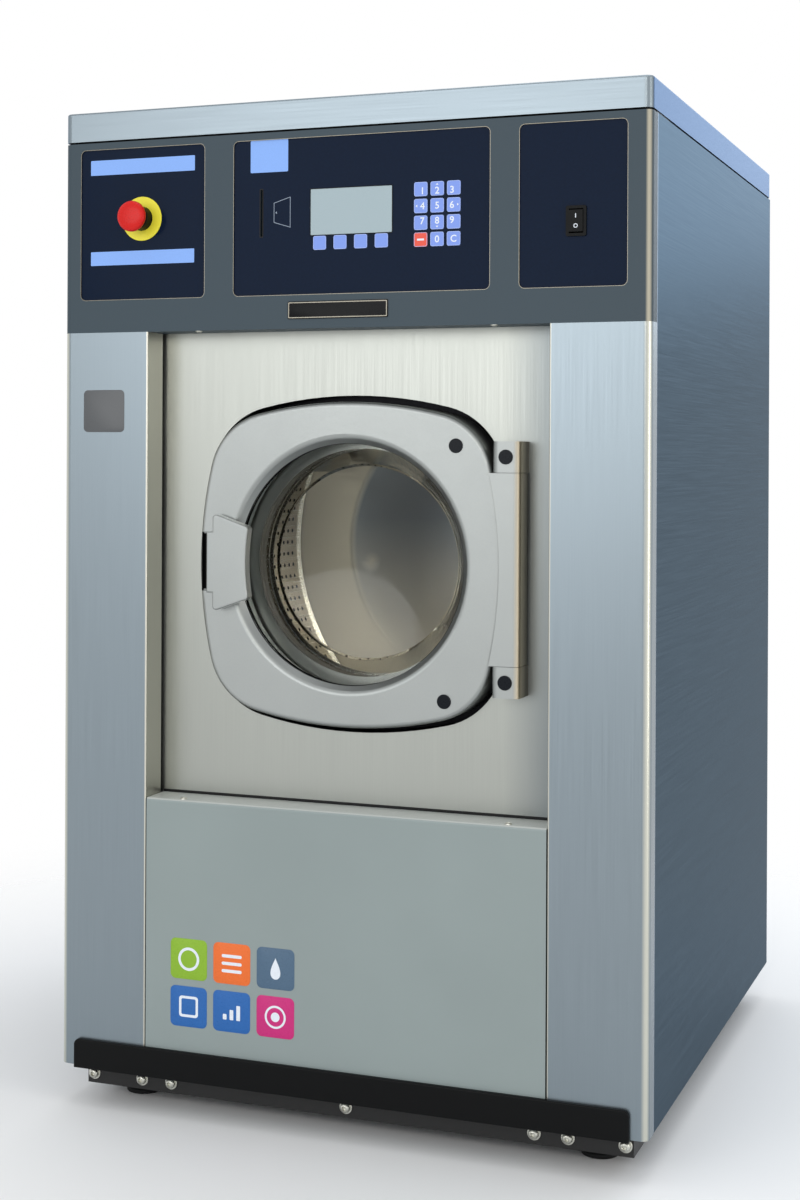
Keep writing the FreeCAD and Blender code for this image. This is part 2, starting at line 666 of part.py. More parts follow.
def switch_hole(grow):
    """Width and height of the switch's sleeve, with a clearance all round."""
    grown = (S.switch_wall - S.switch_border + grow) * 2
    return S.switch_width + grown, S.switch_height + grown


def control_fascia():
    body = new_body("control_fascia", 0, front, fascia_bottom)
    wall, inner = S.fascia_wall, half - S.fascia_wall
    shell = outline((-half, S.column_wrap), (-half, 0, S.corner_radius), (half, 0, S.corner_radius),
                    (half, S.column_wrap), (inner, S.column_wrap), (inner, wall), (-inner, wall),
                    (-inner, S.column_wrap))
    feature(body, "Pad", "fascia_shell", draw(body, "fascia_profile", "XY", [shell]),
            Length=S.fascia_height)
    lip_x = column_inner - S.panel_seam
    lip = rectangle(-lip_x, lip_x, wall / 2, S.recess_depth + S.front_sheet)
    feature(body, "Pad", "fascia_bottom_lip", draw(body, "bottom_lip", "XY", [lip]), Length=S.fascia_lip)
    shelf = rectangle(-inner - wall / 2, inner + wall / 2, wall / 2, S.column_wrap)
    shelf_sketch = draw(body, "top_lip", "XY", [shelf], S.fascia_height - S.fascia_lip)
    feature(body, "Pad", "fascia_top_lip", shelf_sketch, Length=S.fascia_lip)
    windows = [rectangle(w[0], w[1], window_bottom, window_top, S.window_corner)
               for w in (left_window, centre_window, right_window)]
    feature(body, "Pocket", "fascia_windows", draw(body, "windows", "XZ", windows), Length=S.window_depth)
    stop_hole = circle(stop_at[0], stop_at[1] - fascia_bottom, S.stop_barrel_radius + S.fit_gap)
    holes = [stop_hole, around(switch_at, *switch_hole(S.fit_gap), fascia_bottom),
             around(slot_at, S.card_slot_width, S.card_slot_height, fascia_bottom)]
    feature(body, "Pocket", "fascia_holes", draw(body, "holes", "XZ", holes), Length=wall + PAST)
    keep("control_fascia", body)


def window_overlays():
    gap = S.overlay_gap
    film_front = front + overlay_front
    depth = (film_front - PAST, front + S.window_depth + PAST)
    places = [(at, S.key_size + S.key_gap * 2, S.key_size + S.key_gap * 2) for at in key_places().values()]
    places.append((display_at, S.display_width + gap * 2, S.display_height + gap * 2))
    places.append((slot_at, S.card_slot_width, S.card_slot_height))
    centre_holes = [opening("centre_overlay_hole_%d" % i, *spot, depth) for i, spot in enumerate(places)]
    stop_hole = cylinder("left_overlay_hole", "y", S.stop_barrel_radius + S.fit_gap,
                         (stop_at[0], depth[0], stop_at[1]), depth[1] - depth[0])
    switch_opening = opening("right_overlay_hole", switch_at, *switch_hole(S.fit_gap), depth)
    films = []
    for name, window, holes in (("left", left_window, [stop_hole]), ("centre", centre_window, centre_holes),
                                ("right", right_window, [switch_opening])):
        edge = rectangle(window[0] + gap, window[1] - gap, window_bottom + gap, window_top - gap,
                         S.window_corner - gap)
        film = plate(name + "_overlay", "XZ", [edge], S.overlay_wall, (0, film_front, fascia_bottom))
        films.append(cut(name + "_overlay_cut", film, *holes))
    keep("window_overlays", group("window_overlays_group", *films))


def opening(name, centre, width, height, depth):
    """A block that cuts a square-cornered opening about a place on the fascia."""
    return box(name, (centre[0] - width / 2, centre[0] + width / 2), depth,
               (centre[1] - height / 2, centre[1] + height / 2))


def display_glass():
    floor = front + S.window_depth
    shape = around(display_at, S.display_width, S.display_height, fascia_bottom)
    keep("display_glass", plate("display_glass", "XZ", [shape], S.display_wall,
                                (0, floor - S.display_wall, fascia_bottom)))


def keys():
    behind = front + S.window_depth - S.key_travel_gap - S.key_wall
    square = rectangle(-S.key_size / 2, S.key_size / 2, -S.key_size / 2, S.key_size / 2, S.key_corner)
    for name, (x, z) in key_places().items():
        keep(name, plate(name, "XZ", [square], S.key_wall, (x, behind, z)))


def stop_button():
    x, z = stop_at
    film = front + overlay_front
    disc_front = film - S.stop_disc_wall
    collar_front = disc_front - S.stop_collar_length
    barrel_end = film + S.stop_barrel_length
    nut_front = front + S.fascia_wall
    bore = S.stop_stem_radius + S.stop_stem_gap
    casing = fuse("stop_casing",
                  cylinder("stop_disc", "y", S.stop_disc_radius, (x, disc_front, z), S.stop_disc_wall),
                  cylinder("stop_collar", "y", S.stop_collar_radius, (x, collar_front, z),
                           S.stop_collar_length + S.stop_disc_wall / 2),
                  cylinder("stop_barrel", "y", S.stop_barrel_radius, (x, disc_front, z),
                           barrel_end - disc_front),
                  hexagon("stop_nut", "y", S.stop_nut_radius, (x, nut_front, z), S.stop_nut_wall))
    hole = cylinder("stop_bore", "y", bore, (x, collar_front - PAST, z),
                    barrel_end - collar_front + PAST * 2)
    keep("stop_button_collar", cut("stop_collar_cut", casing, hole))
    cap_back = collar_front - S.stop_travel_gap
    cap_front = cap_back - S.stop_cap_height
    edge = S.stop_cap_edge
    profile = outline((0, cap_front), (S.stop_cap_radius, cap_front, edge), (S.stop_cap_radius, cap_back),
                      (S.stop_stem_radius, cap_back), (S.stop_stem_radius, cap_back + S.stop_stem_length),
                      (0, cap_back + S.stop_stem_length))
    keep("stop_button", turned("stop_button", profile, (x, 0, z)))


def power_switch():
    x, z = switch_at
    film = front + overlay_front
    bezel_front = film - S.switch_bezel_wall
    body_width, body_height = switch_hole(0)
    inner_x = S.switch_width / 2 - S.switch_border
    inner_z = S.switch_height / 2 - S.switch_border
    rim = around((0, 0), S.switch_width, S.switch_height, 0, S.key_corner)
    flange = plate("bezel_flange", "XZ", [rim], S.switch_bezel_wall, (x, bezel_front, z))
    sleeve = box("bezel_sleeve", (x - body_width / 2, x + body_width / 2),
                 (film - S.switch_bezel_wall / 2, film + S.switch_body_depth),
                 (z - body_height / 2, z + body_height / 2))
    hollow = box("bezel_hollow", (x - inner_x, x + inner_x),
                 (bezel_front - PAST, film + S.switch_body_depth - S.switch_wall),
                 (z - inner_z, z + inner_z))
    pivot_y = bezel_front + S.rocker_pivot_depth
    pins = cylinder("bezel_pivot_hole", "x", S.rocker_pivot_radius + S.running_gap,
                    (x - inner_x - S.switch_wall / 2, pivot_y, z), inner_x * 2 + S.switch_wall)
    keep("switch_bezel", cut("switch_bezel_cut", fuse("bezel_shell", flange, sleeve), hollow, pins))
    wide, high = inner_x - S.rocker_gap, inner_z - S.rocker_swing_gap
    rocker_front = bezel_front - S.rocker_rise
    rocker = box("rocker_block", (x - wide, x + wide), (rocker_front, bezel_front + S.rocker_depth),
                 (z - high, z + high))
    pin = cylinder("rocker_pin", "x", S.rocker_pivot_radius, (x - inner_x - S.switch_wall / 4, pivot_y, z),
                   inner_x * 2 + S.switch_wall / 2)
    keep("power_rocker", fuse("power_rocker_fuse", rocker, pin))


def control_box():
    edge = half - S.panel_wall
    y0 = front + S.control_box_setback
    y1 = y0 + S.control_box_depth
    z0 = fascia_bottom + S.control_box_rise
    wall = S.panel_wall
    outer = box("control_box_outer", (-edge, edge), (y0, y1), (z0, lid_inside))
    inner = box("control_box_inner", (wall - edge, edge - wall), (y0 + wall, y1 - wall),
                (z0 + wall, lid_inside - wall))
    keep("control_box", cut("control_box_cut", outer, inner))


# Door, hinge and handle

def door_frame():
    body = new_body("door_casting", 0, door_front, door_z)
    thick = S.door_thickness
    door_outline = draw(body, "door_outline", "XZ", [squircle("door_outside", 0)])
    feature(body, "Pad", "door_block", door_outline, reverse=True, Length=thick)
    soften(body, "door_rounding", S.door_edge, lambda p, e: near(p.y, 0))
    flare = (S.opening_radius - S.funnel_radius) / S.funnel_depth
    well = path([(0, -PAST), (S.opening_radius + flare * PAST, -PAST), (S.funnel_radius, S.funnel_depth),
                 (S.seat_radius, S.funnel_depth), (S.seat_radius, thick + PAST), (0, thick + PAST)])
    sketch = draw(body, "door_well", "XY", [well])
    groove = body.newObject("PartDesign::Groove", "door_opening")
    groove.Profile = sketch
    groove.ReferenceAxis = (sketch, ["V_Axis"])
    groove.Angle = 360
    soften(body, "opening_rounding", S.opening_edge,
           lambda p, e: near(p.y, 0) and near(math.hypot(p.x, p.z), S.opening_radius))
    hollow = [squircle("door_inside", -S.door_wall), circle(0, 0, S.seat_radius + S.seat_wall)]
    feature(body, "Pocket", "door_hollow", draw(body, "door_inside", "XZ", hollow, -thick), reverse=True,
            Length=thick - S.door_wall)
    notch_left = S.notch_edge - S.door_half
    notch = rectangle(notch_left, notch_left + S.notch_width, -S.notch_half, S.notch_half)
    feature(body, "Pocket", "handle_notch", draw(body, "notch_outline", "XZ", [notch]),
            Length=S.door_wall + PAST)
    lug_left, lug_right = S.door_wall / 2 - S.door_half, -S.seat_radius - S.seat_wall / 2
    lug = rectangle(lug_left, lug_right, S.door_wall / 2, S.door_wall + S.lug_depth)
    near_lug = S.lever_half + S.lug_gap
    for name, rise in (("upper_lug", near_lug), ("lower_lug", -near_lug - S.lug_wall)):
        feature(body, "Pad", name, draw(body, name + "_outline", "XY", [lug], rise), Length=S.lug_wall)
    pin_hole = cylinder("handle_pin_hole", "z", S.handle_pin_radius + S.running_gap,
                        (handle_pivot[0], handle_pivot[1], door_z - near_lug - S.lug_wall + S.lug_gap),
                        (near_lug + S.lug_wall - S.lug_gap) * 2)
    keep("door_frame", cut("door_frame_cut", body, pin_hole))


handle_pivot = lines("handle_pivot_at", (S.handle_pivot_x - S.door_half, door_front + S.handle_pivot_depth))


def door_glass():
    rim_front = S.funnel_depth + S.gasket_wall + S.gasket_gap
    rim_back = rim_front + S.glass_rim_wall
    bowl_in = rim_front + S.bowl_depth
    neck = S.funnel_radius - S.gasket_gap * 2
    dome_in, dome_out = bowl_in + S.dome_height, bowl_in + S.dome_height + S.glass_wall
    outer_r, outer_y = S.bowl_radius + S.glass_wall, bowl_in + S.glass_wall / 2
    inner_dome = dome_centre(S.bowl_radius, bowl_in, dome_in)
    outer_dome = dome_centre(outer_r, outer_y, dome_out)
    profile = path([(0, dome_in), (S.bowl_radius, bowl_in), (neck, rim_front),
                    (S.glass_rim_radius, rim_front), (S.glass_rim_radius, rim_back),
                    (neck + S.glass_wall / 2, rim_back), (outer_r, outer_y), (0, dome_out)],
                   {0: inner_dome, 6: outer_dome})
    keep("door_glass", turned("door_glass", profile, (0, door_front, door_z)))


def dome_centre(radius, edge, crown):
    """Centre on the axis of the round dome from the edge at that radius to the crown."""
    rise = crown - edge
    return (0, crown - (radius * radius + rise * rise) / (rise * 2))


def glass_gasket():
    gap = S.gasket_gap
    start = S.funnel_depth + gap
    rim_front = S.funnel_depth + S.gasket_wall
    rim_back = rim_front + S.glass_rim_wall + gap * 2
    neck, rim = S.funnel_radius - gap * 2, S.glass_rim_radius + gap
    outer = S.seat_radius - gap
    lip = neck + S.glass_wall / 2 + gap * 2
    end = rim_back + S.gasket_wall
    profile = outline((neck, start), (outer, start), (outer, end), (lip, end), (lip, rim_back),
                      (rim, rim_back), (rim, rim_front), (neck, rim_front))
    keep("glass_gasket", turned("glass_gasket", profile, (0, door_front, door_z)))


def plugs(node, places, face):
    caps = []
    for i, (x, z) in enumerate(places):
        profile = outline((0, 0), (S.plug_radius, 0, S.plug_wall / 2), (S.plug_radius, S.plug_wall),
                          (0, S.plug_wall))
        caps.append(turned("%s_%d" % (node, i), profile, (x, face - S.plug_wall, z)))
    keep(node, group(node + "_group", *caps))


hinge_face = line("hinge_face_at", door_front - S.hinge_front)
hinge_left = line("hinge_left_at", S.hinge_right - S.hinge_width)
hinge_pin = lines("hinge_pin_at", (S.hinge_right - S.hinge_pin_inset, hinge_face + S.hinge_pin_depth))


def hinge_arm():
    grown = S.door_side_radius + S.fit_gap
    centre = S.door_half - S.door_side_radius
    tall = S.hinge_arm_half
    corner = centre + root(grown * grown - tall * tall)
    shape = path([(corner, -tall), (S.hinge_right, -tall), (S.hinge_right, tall), (corner, tall)],
                 {3: (centre, 0)})
    body = plate("hinge_arm", "XZ", [shape], S.hinge_arm_depth, (0, hinge_face, door_z))
    soften(body, "arm_rounding", S.hinge_edge, lambda p, e: near(p.x, S.hinge_right) and near(p.y, 0))
    bore = circle(hinge_pin[0], S.hinge_pin_depth, S.hinge_pin_radius + S.running_gap)
    feature(body, "Pocket", "arm_bore_cut", draw(body, "arm_bore", "XY", [bore], -tall - PAST), reverse=True,
            Length=tall * 2 + PAST * 2)
    keep("hinge_arm", body)


def hinge_brackets():
    brackets = []
    for name, side in (("upper", 1), ("lower", -1)):
        near_arm = S.hinge_arm_half + S.hinge_gap
        low = door_z + near_arm if side > 0 else door_z - near_arm - S.hinge_block_height
        shape = rectangle(0, S.hinge_width, 0, panel_front - hinge_face)
        block = plate(name + "_bracket", "XY", [shape], S.hinge_block_height, (hinge_left, hinge_face, low))
        soften(block, name + "_bracket_rounding", S.hinge_edge,
               lambda p, e: near(p.y, 0) and near(p.z, S.hinge_block_height / 2))
        start = low - S.hinge_pin_reach if side > 0 else low + S.hinge_block_height / 2
        pin = cylinder(name + "_hinge_pin", "z", S.hinge_pin_radius, (*hinge_pin, start),
                       S.hinge_pin_reach + S.hinge_block_height / 2)
        brackets.append(fuse(name + "_hinge", block, pin))
    keep("hinge_brackets", group("hinge_brackets_group", *brackets))


def door_handle():
    paddle_back = door_front - S.handle_stand
    paddle_front = paddle_back - S.handle_wall
    left = S.handle_edge - S.door_half
    right = left + S.handle_width
    inset = left + S.handle_shoulder
    sag, tip = S.handle_sag, S.handle_tip_half
    hollow_radius = (tip * tip + sag * sag) / (sag * 2)
    shape = path([(inset, S.handle_half), (inset, S.handle_tab_half), (left, S.handle_tab_half),
                  (left, -S.handle_tab_half), (inset, -S.handle_tab_half), (inset, -S.handle_half),
                  (right, -tip), (right, tip)], {6: (right - sag + hollow_radius, 0)})
    paddle = plate("handle_paddle", "XZ", [shape], S.handle_wall, (0, paddle_front, door_z))
    soften(paddle, "handle_corners", S.handle_corner,
           lambda p, e: near(p.y, S.handle_wall / 2)
           and (near(p.x, right) or near(abs(p.z), S.handle_half)))
    soften(paddle, "handle_rounding", S.handle_round, lambda p, e: near(p.y, 0))
    x, y = handle_pivot
    lever_back = paddle_back + S.lever_depth + S.lever_width / 2
    lever = box("handle_lever", (x - S.lever_width / 2, x + S.lever_width / 2),
                (paddle_back - S.handle_wall / 2, lever_back),
                (door_z - S.lever_half, door_z + S.lever_half))
    tongue_left = S.tongue_edge - S.door_half
    foot = box("handle_foot", (tongue_left, x), (lever_back - S.lever_foot, lever_back),
               (door_z - S.tongue_half, door_z + S.tongue_half))
    tongue = box("latch_tongue", (tongue_left, tongue_left + S.tongue_wall),
                 (lever_back - S.lever_foot, bucket_back + S.tongue_reach),
                 (door_z - S.tongue_half, door_z + S.tongue_half))
    reach = S.lever_half + S.lug_gap + S.lug_wall / 2
    pin = cylinder("handle_pin", "z", S.handle_pin_radius, (x, y, door_z - reach), reach * 2)
    keep("door_handle", fuse("door_handle_fuse", paddle, lever, foot, tongue, pin))


def door_lock():
    left = S.lock_edge - S.door_half - S.door_gap
    right = S.lip_slot_left + S.lip_slot_width + S.lock_side - S.door_half
    tall, wall = S.lock_height / 2, S.lock_wall
    lock_back = bucket_back + S.lock_depth
    outer = box("lock_outer", (left, right), (bucket_back, lock_back), (door_z - tall, door_z + tall))
    inner = box("lock_inner", (left + wall, right - wall), (bucket_back - PAST, lock_back - wall),
                (door_z - tall + wall, door_z + tall - wall))
    keep("door_lock", cut("door_lock_cut", outer, inner))


# Tub, drum, drive and suspension

def door_bellows():
    start, end = bucket_back + S.fit_gap, tub_front - S.fit_gap
    crest, valley = S.bellows_outer, S.bellows_outer - S.bellows_fold
    radii = (crest, crest, valley, crest, valley, crest, crest)
    step = (end - start) / (len(radii) - 1)
    outside = [(radius, start + step * i) for i, radius in enumerate(radii)]
    inside = [(radius - S.bellows_wall, depth) for radius, depth in reversed(outside)]
    keep("door_bellows", turned("door_bellows", path(outside + inside), (0, 0, door_z)))


def strut_places():
    x = base_half - S.strut_inset
    levels = (front + S.strut_front, tub_back + S.tub_wall - S.strut_rear / 2)
    return [(x * side, y) for side in (-1, 1) for y in levels]


strut_top = line("strut_top_at", door_z - S.strut_drop)


def tub():
    wall, outer = S.tub_wall, S.tub_radius
    inner = outer - wall
    profile = outline((S.mouth_radius, tub_front), (outer, tub_front, S.drum_edge), (outer, tub_back),
                      (S.tub_hub_radius, tub_back), (S.tub_hub_radius, tub_back - wall),
                      (inner, tub_back - wall), (inner, tub_front + wall, S.drum_edge - wall),
                      (S.mouth_radius, tub_front + wall))
    shell = turned("tub_shell", profile, (0, 0, door_z))
    lugs = []
    for i, (x, y) in enumerate(strut_places()):
        inside, outside = S.tub_radius - S.strut_lug_reach, base_half - S.strut_inset + S.strut_lug_half
        width = (inside, outside) if x.number > 0 else (-outside, -inside)
        lug_front, lug_back = y - S.strut_lug_half, y + S.strut_lug_half
        lug = box("tub_lug_%d" % i, width, (lug_front, lug_back), (strut_top, door_z))
        room = cylinder("tub_lug_room_%d" % i, "y", outer - wall / 2, (0, lug_front - PAST, door_z),
                        S.strut_lug_half * 2 + PAST * 2)
        lugs.append(cut("tub_lug_cut_%d" % i, lug, room))
    keep("tub", fuse("tub_fuse", shell, *lugs))


def bearing_housing():
    bore = S.shaft_radius + S.running_gap
    end, flange_back = tub_back + S.housing_length, tub_back + S.housing_flange_wall
    profile = outline((bore, tub_back), (S.housing_flange_radius, tub_back),
                      (S.housing_flange_radius, flange_back), (S.housing_radius, flange_back),
                      (S.housing_radius, end), (bore, end))
    keep("bearing_housing", turned("bearing_housing", profile, (0, 0, door_z)))


drum_front = line("drum_front_at", tub_front + S.drum_front_gap)
drum_back = line("drum_back_at", tub_back - S.drum_back_gap)
pulley_back = line("pulley_back_at", rear_inside - S.pulley_back_gap)
pulley_front = line("pulley_front_at", pulley_back - S.pulley_width)


def drum():
    wall, outer, inner = S.drum_wall, S.drum_radius, S.drum_radius - S.drum_wall
    profile = outline((S.mouth_radius, drum_front), (outer, drum_front, S.drum_edge), (outer, drum_back),
                      (0, drum_back), (0, drum_back - S.drum_back_wall),
                      (inner, drum_back - S.drum_back_wall), (inner, drum_front + wall, S.drum_edge - wall),
                      (S.mouth_radius, drum_front + wall))
    shell = turned("drum_shell", profile, (0, 0, door_z))
    base, crest = S.lifter_width / 2, S.lifter_width / 6
    foot = inner + wall / 2 - base * base / (inner * 2)
    ridge = S.lifter_height - foot
    shape = path([(-base, -foot), (base, -foot), (crest, ridge), (-crest, ridge)])
    length = drum_back - drum_front - S.drum_edge - S.drum_back_wall / 2
    lifters = []
    for i in range(LIFTERS):
        lifter = plate("lifter_%d" % i, "XZ", [shape], length, (0, drum_front + S.drum_edge, door_z))
        lifter.Placement.Rotation = FreeCAD.Rotation(FreeCAD.Vector(0, 1, 0), 360.0 * i / LIFTERS)
        lifters.append(lifter)
    keep("drum", fuse("drum_fuse", shell, *lifters))


def drum_shaft():
    rim, web = S.pulley_radius - S.pulley_rim, (S.pulley_width - S.pulley_web) / 2
    profile = outline((0, drum_back), (S.shaft_radius, drum_back), (S.shaft_radius, pulley_front + web),
                      (rim, pulley_front + web), (rim, pulley_front), (S.pulley_radius, pulley_front),
                      (S.pulley_radius, pulley_back), (rim, pulley_back), (rim, pulley_back - web),
                      (0, pulley_back - web))
    keep("drum_shaft", turned("drum_shaft", profile, (0, 0, door_z)))


motor_z = line("motor_z_at", door_z - S.motor_drop)
motor_back = line("motor_back_at", pulley_front - S.motor_pulley_gap)
motor_front = line("motor_front_at", motor_back - S.motor_length)


def motor():
    x = S.motor_x
    case = cylinder("motor_case", "y", S.motor_radius, (x, motor_front, motor_z), S.motor_length)
    reach = S.motor_bracket_width / 2
    arm = box("motor_arm", (x - reach, x + reach), (motor_front, tub_back), (motor_z, door_z))
    room = cylinder("motor_arm_room", "y", S.tub_radius + S.fit_gap, (0, motor_front - PAST, door_z),
                    tub_back - motor_front + PAST * 2)
    bore = cylinder("motor_bore", "y", S.motor_shaft_radius + S.running_gap,
                    (x, motor_back - S.motor_shaft_bore, motor_z), S.motor_shaft_bore + PAST)
    keep("motor", cut("motor_cut", fuse("motor_fuse", case, cut("motor_arm_cut", arm, room)), bore))


def motor_pulley():
    shaft_front = motor_back - S.motor_shaft_bore + PAST
    profile = outline((0, shaft_front), (S.motor_shaft_radius, shaft_front),
                      (S.motor_shaft_radius, pulley_front), (S.motor_pulley_radius, pulley_front),
                      (S.motor_pulley_radius, pulley_back), (0, pulley_back))
    keep("motor_pulley", turned("motor_pulley", profile, (S.motor_x, 0, motor_z)))


def drive_belt():
    """A flat band round both pulleys: two arcs joined by the straight runs that touch them."""
    dx, dz = S.motor_x, motor_z - door_z
    span = line("belt_span", root(dx * dx + dz * dz))
    lean = line("belt_lean", (S.pulley_radius - S.motor_pulley_radius) / span)
    square = line("belt_square", root(1 - lean * lean))
    ux, uz = lines("belt_along", (dx / span, dz / span))
    left = lines("belt_left", (ux * lean - uz * square, uz * lean + ux * square))
    right = lines("belt_right", (ux * lean + uz * square, uz * lean - ux * square))

    def loop(grow):
        big, small = S.pulley_radius + grow, S.motor_pulley_radius + grow
        corners = [(left[0] * big, left[1] * big), (-ux * big, -uz * big), (right[0] * big, right[1] * big),
                   (dx + right[0] * small, dz + right[1] * small), (dx + ux * small, dz + uz * small),
                   (dx + left[0] * small, dz + left[1] * small)]
        return path(corners, {0: (0, 0), 1: (0, 0), 3: (dx, dz), 4: (dx, dz)})

    band = [loop(S.belt_gap + S.belt_wall), loop(S.belt_gap)]
    margin = S.pulley_web / 2
    keep("drive_belt", plate("drive_belt", "XZ", band, S.pulley_width - margin * 2,
                             (0, pulley_front + margin, door_z)))


def suspension():
    springs, cylinders, rods = [], [], []
    seat = base_top + S.spring_seat_rise
    seat_radius = S.spring_radius + S.spring_wire / 2
    top = strut_top - S.strut_plate
    for i, (x, y) in enumerate(strut_places()):
        barrel = fuse("damper_barrel_%d" % i,
                      cylinder("damper_foot_%d" % i, "z", seat_radius, (x, y, base_top), S.strut_plate),
                      cylinder("damper_tube_%d" % i, "z", S.damper_radius, (x, y, base_top), S.damper_length),
                      cylinder("damper_seat_%d" % i, "z", seat_radius, (x, y, seat - S.spring_seat_wall),
                               S.spring_seat_wall))
        bore_start = base_top + S.damper_length - S.rod_overlap - S.damper_radius
        bore = cylinder("damper_bore_%d" % i, "z", S.rod_radius + S.running_gap, (x, y, bore_start),
                        S.rod_overlap + S.damper_radius + PAST)
        cylinders.append(cut("damper_%d" % i, barrel, bore))
        rod_start = base_top + S.damper_length - S.rod_overlap
        rods.append(fuse("damper_rod_%d" % i,
                         cylinder("rod_bar_%d" % i, "z", S.rod_radius, (x, y, rod_start),
                                  strut_top - rod_start),
                         cylinder("rod_plate_%d" % i, "z", seat_radius, (x, y, top), S.strut_plate)))
        sleeve = cylinder("spring_outer_%d" % i, "z", S.spring_radius, (x, y, seat), top - seat)
        hollow = cylinder("spring_inner_%d" % i, "z", S.spring_radius - S.spring_wire, (x, y, seat - PAST),
                          top - seat + PAST * 2)
        springs.append(cut("spring_%d" % i, sleeve, hollow))
    keep("suspension_springs", group("suspension_springs_group", *springs))
    keep("damper_cylinders", group("damper_cylinders_group", *cylinders))
    keep("damper_rods", group("damper_rods_group", *rods))


# Connections at the rear

def valve_z():
    return cabinet_top - S.valve_drop


def valve_places():
    return [(-S.valve_x + S.valve_spread / 2 * side, valve_z()) for side in (-1, 1)]


def spigot(name, radius, bore, x, z, reach):
    """A pipe end with a collar that fills the panel's hole; a hose goes over the rest."""
    collar = rear_face - rear_inside + S.spigot_collar
    pipe = cylinder(name + "_pipe", "y", radius, (x, rear_inside, z), collar + reach)
    ring = cylinder(name + "_collar", "y", radius + S.spigot_collar, (x, rear_inside, z), collar)
    hole = cylinder(name + "_bore", "y", bore, (x, rear_inside - PAST, z), collar + reach + PAST * 2)
    return cut(name + "_spigot", fuse(name + "_spigot_blank", pipe, ring), hole)


def rear_fittings():
    pieces = []
    reach = S.valve_body / 2
    for i, (x, z) in enumerate(valve_places()):
        body = box("valve_body_%d" % i, (x - reach, x + reach), (rear_inside - S.valve_body, rear_inside),
                   (z - reach, z + reach))
        pieces += [body, spigot("inlet_%d" % i, S.inlet_radius, S.inlet_bore, x, z, S.inlet_reach)]
    x, z = S.gland_x, valve_z()
    start = rear_inside - S.gland_nut_wall
    length = rear_face - start + S.gland_reach
    barrel = cylinder("gland_barrel", "y", S.gland_radius, (x, start, z), length)
    outer_nut = hexagon("gland_outer_nut", "y", S.gland_nut_radius, (x, rear_face, z), S.gland_nut_wall)
    inner_nut = hexagon("gland_inner_nut", "y", S.gland_nut_radius, (x, start, z), S.gland_nut_wall)
    hole = cylinder("gland_hole", "y", S.gland_bore, (x, start - PAST, z), length + PAST * 2)
    pieces.append(cut("cable_gland", fuse("gland_fuse", barrel, outer_nut, inner_nut), hole))
    keep("rear_fittings", group("rear_fittings_group", *pieces))


def drain_valve():
    z = base_top + S.drain_rise
    side = S.drain_body / 2
    start = rear_inside - S.drain_body_depth
    body = box("drain_body", (-side, side), (start, rear_inside), (base_top, base_top + S.drain_body))
    pipe = spigot("drain", S.drain_radius, S.drain_bore, size(0), z, S.drain_reach)
    chamber = cylinder("drain_chamber", "y", S.drain_bore, (0, start + S.drain_wall, z), S.drain_body_depth)
    keep("drain_valve", group("drain_valve_group", cut("drain_housing", body, chamber), pipe))


# The machine

base_frame()
levelling_feet()
base_bolts()
mirrored("left_side_panel", "right_side_panel", side_panel)
rear_panel()
rear_cover()
top_cover()
mirrored("left_front_column", "right_front_column", front_column)
front_panel()
lower_front_panel()
kick_bar()
panel_screws()
control_fascia()
window_overlays()
display_glass()
keys()
stop_button()
power_switch()
control_box()
door_frame()
door_glass()
glass_gasket()
plugs("door_plugs", [(S.upper_plug_x, door_z + S.upper_plug_z),
                     (S.lower_plug_x, door_z - S.lower_plug_z)], door_front)
hinge_arm()
hinge_brackets()
bracket_middle = S.hinge_arm_half + S.hinge_gap + S.hinge_block_height / 2
plugs("bracket_plugs", [(hinge_left + S.hinge_width / 2, door_z + bracket_middle * side)
                        for side in (-1, 1)], hinge_face)
door_handle()
door_lock()
door_bellows()
tub()
bearing_housing()
drum()
drum_shaft()
motor()
motor_pulley()
drive_belt()
suspension()
rear_fittings()
drain_valve()
doc.recompute()

faults = [item.Name for item in doc.Objects if "Invalid" in item.State or "Error" in item.State]
faults += [node for node, item in nodes.items() if item.Shape.isNull() or not item.Shape.isValid()]
if faults:
    raise RuntimeError("not built: " + ", ".join(faults))
os.makedirs("parts", exist_ok=True)
for node, item in nodes.items():
    item.Shape.exportStep("parts/%s.step" % node)
print("%d sub-parts written" % len(nodes))
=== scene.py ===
"""Finishes, fasteners, printed controls, drum, light and camera for a washer-extractor."""

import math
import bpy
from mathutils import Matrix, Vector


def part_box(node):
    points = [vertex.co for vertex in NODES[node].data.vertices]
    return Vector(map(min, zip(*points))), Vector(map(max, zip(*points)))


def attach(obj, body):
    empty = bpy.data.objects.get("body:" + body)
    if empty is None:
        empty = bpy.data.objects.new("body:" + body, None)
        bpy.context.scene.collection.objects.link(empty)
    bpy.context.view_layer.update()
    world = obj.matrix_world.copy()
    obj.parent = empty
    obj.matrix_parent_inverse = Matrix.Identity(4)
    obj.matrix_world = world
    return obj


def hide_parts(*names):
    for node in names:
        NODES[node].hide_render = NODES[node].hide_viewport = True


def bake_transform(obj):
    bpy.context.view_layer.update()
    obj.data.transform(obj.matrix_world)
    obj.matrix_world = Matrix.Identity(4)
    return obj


bl_info = {
    "name": "Washer-extractor dressing",
    "version": (1, 0, 0),
    "blender": (4, 5, 0),
    "location": "View3D > Sidebar > Washer",
    "description": "Finishes and small pieces for a front-loading washer-extractor",
    "category": "Object",
}

import bmesh
import bpy
from bpy.props import FloatProperty, FloatVectorProperty, IntProperty, PointerProperty
from mathutils import Matrix, Vector

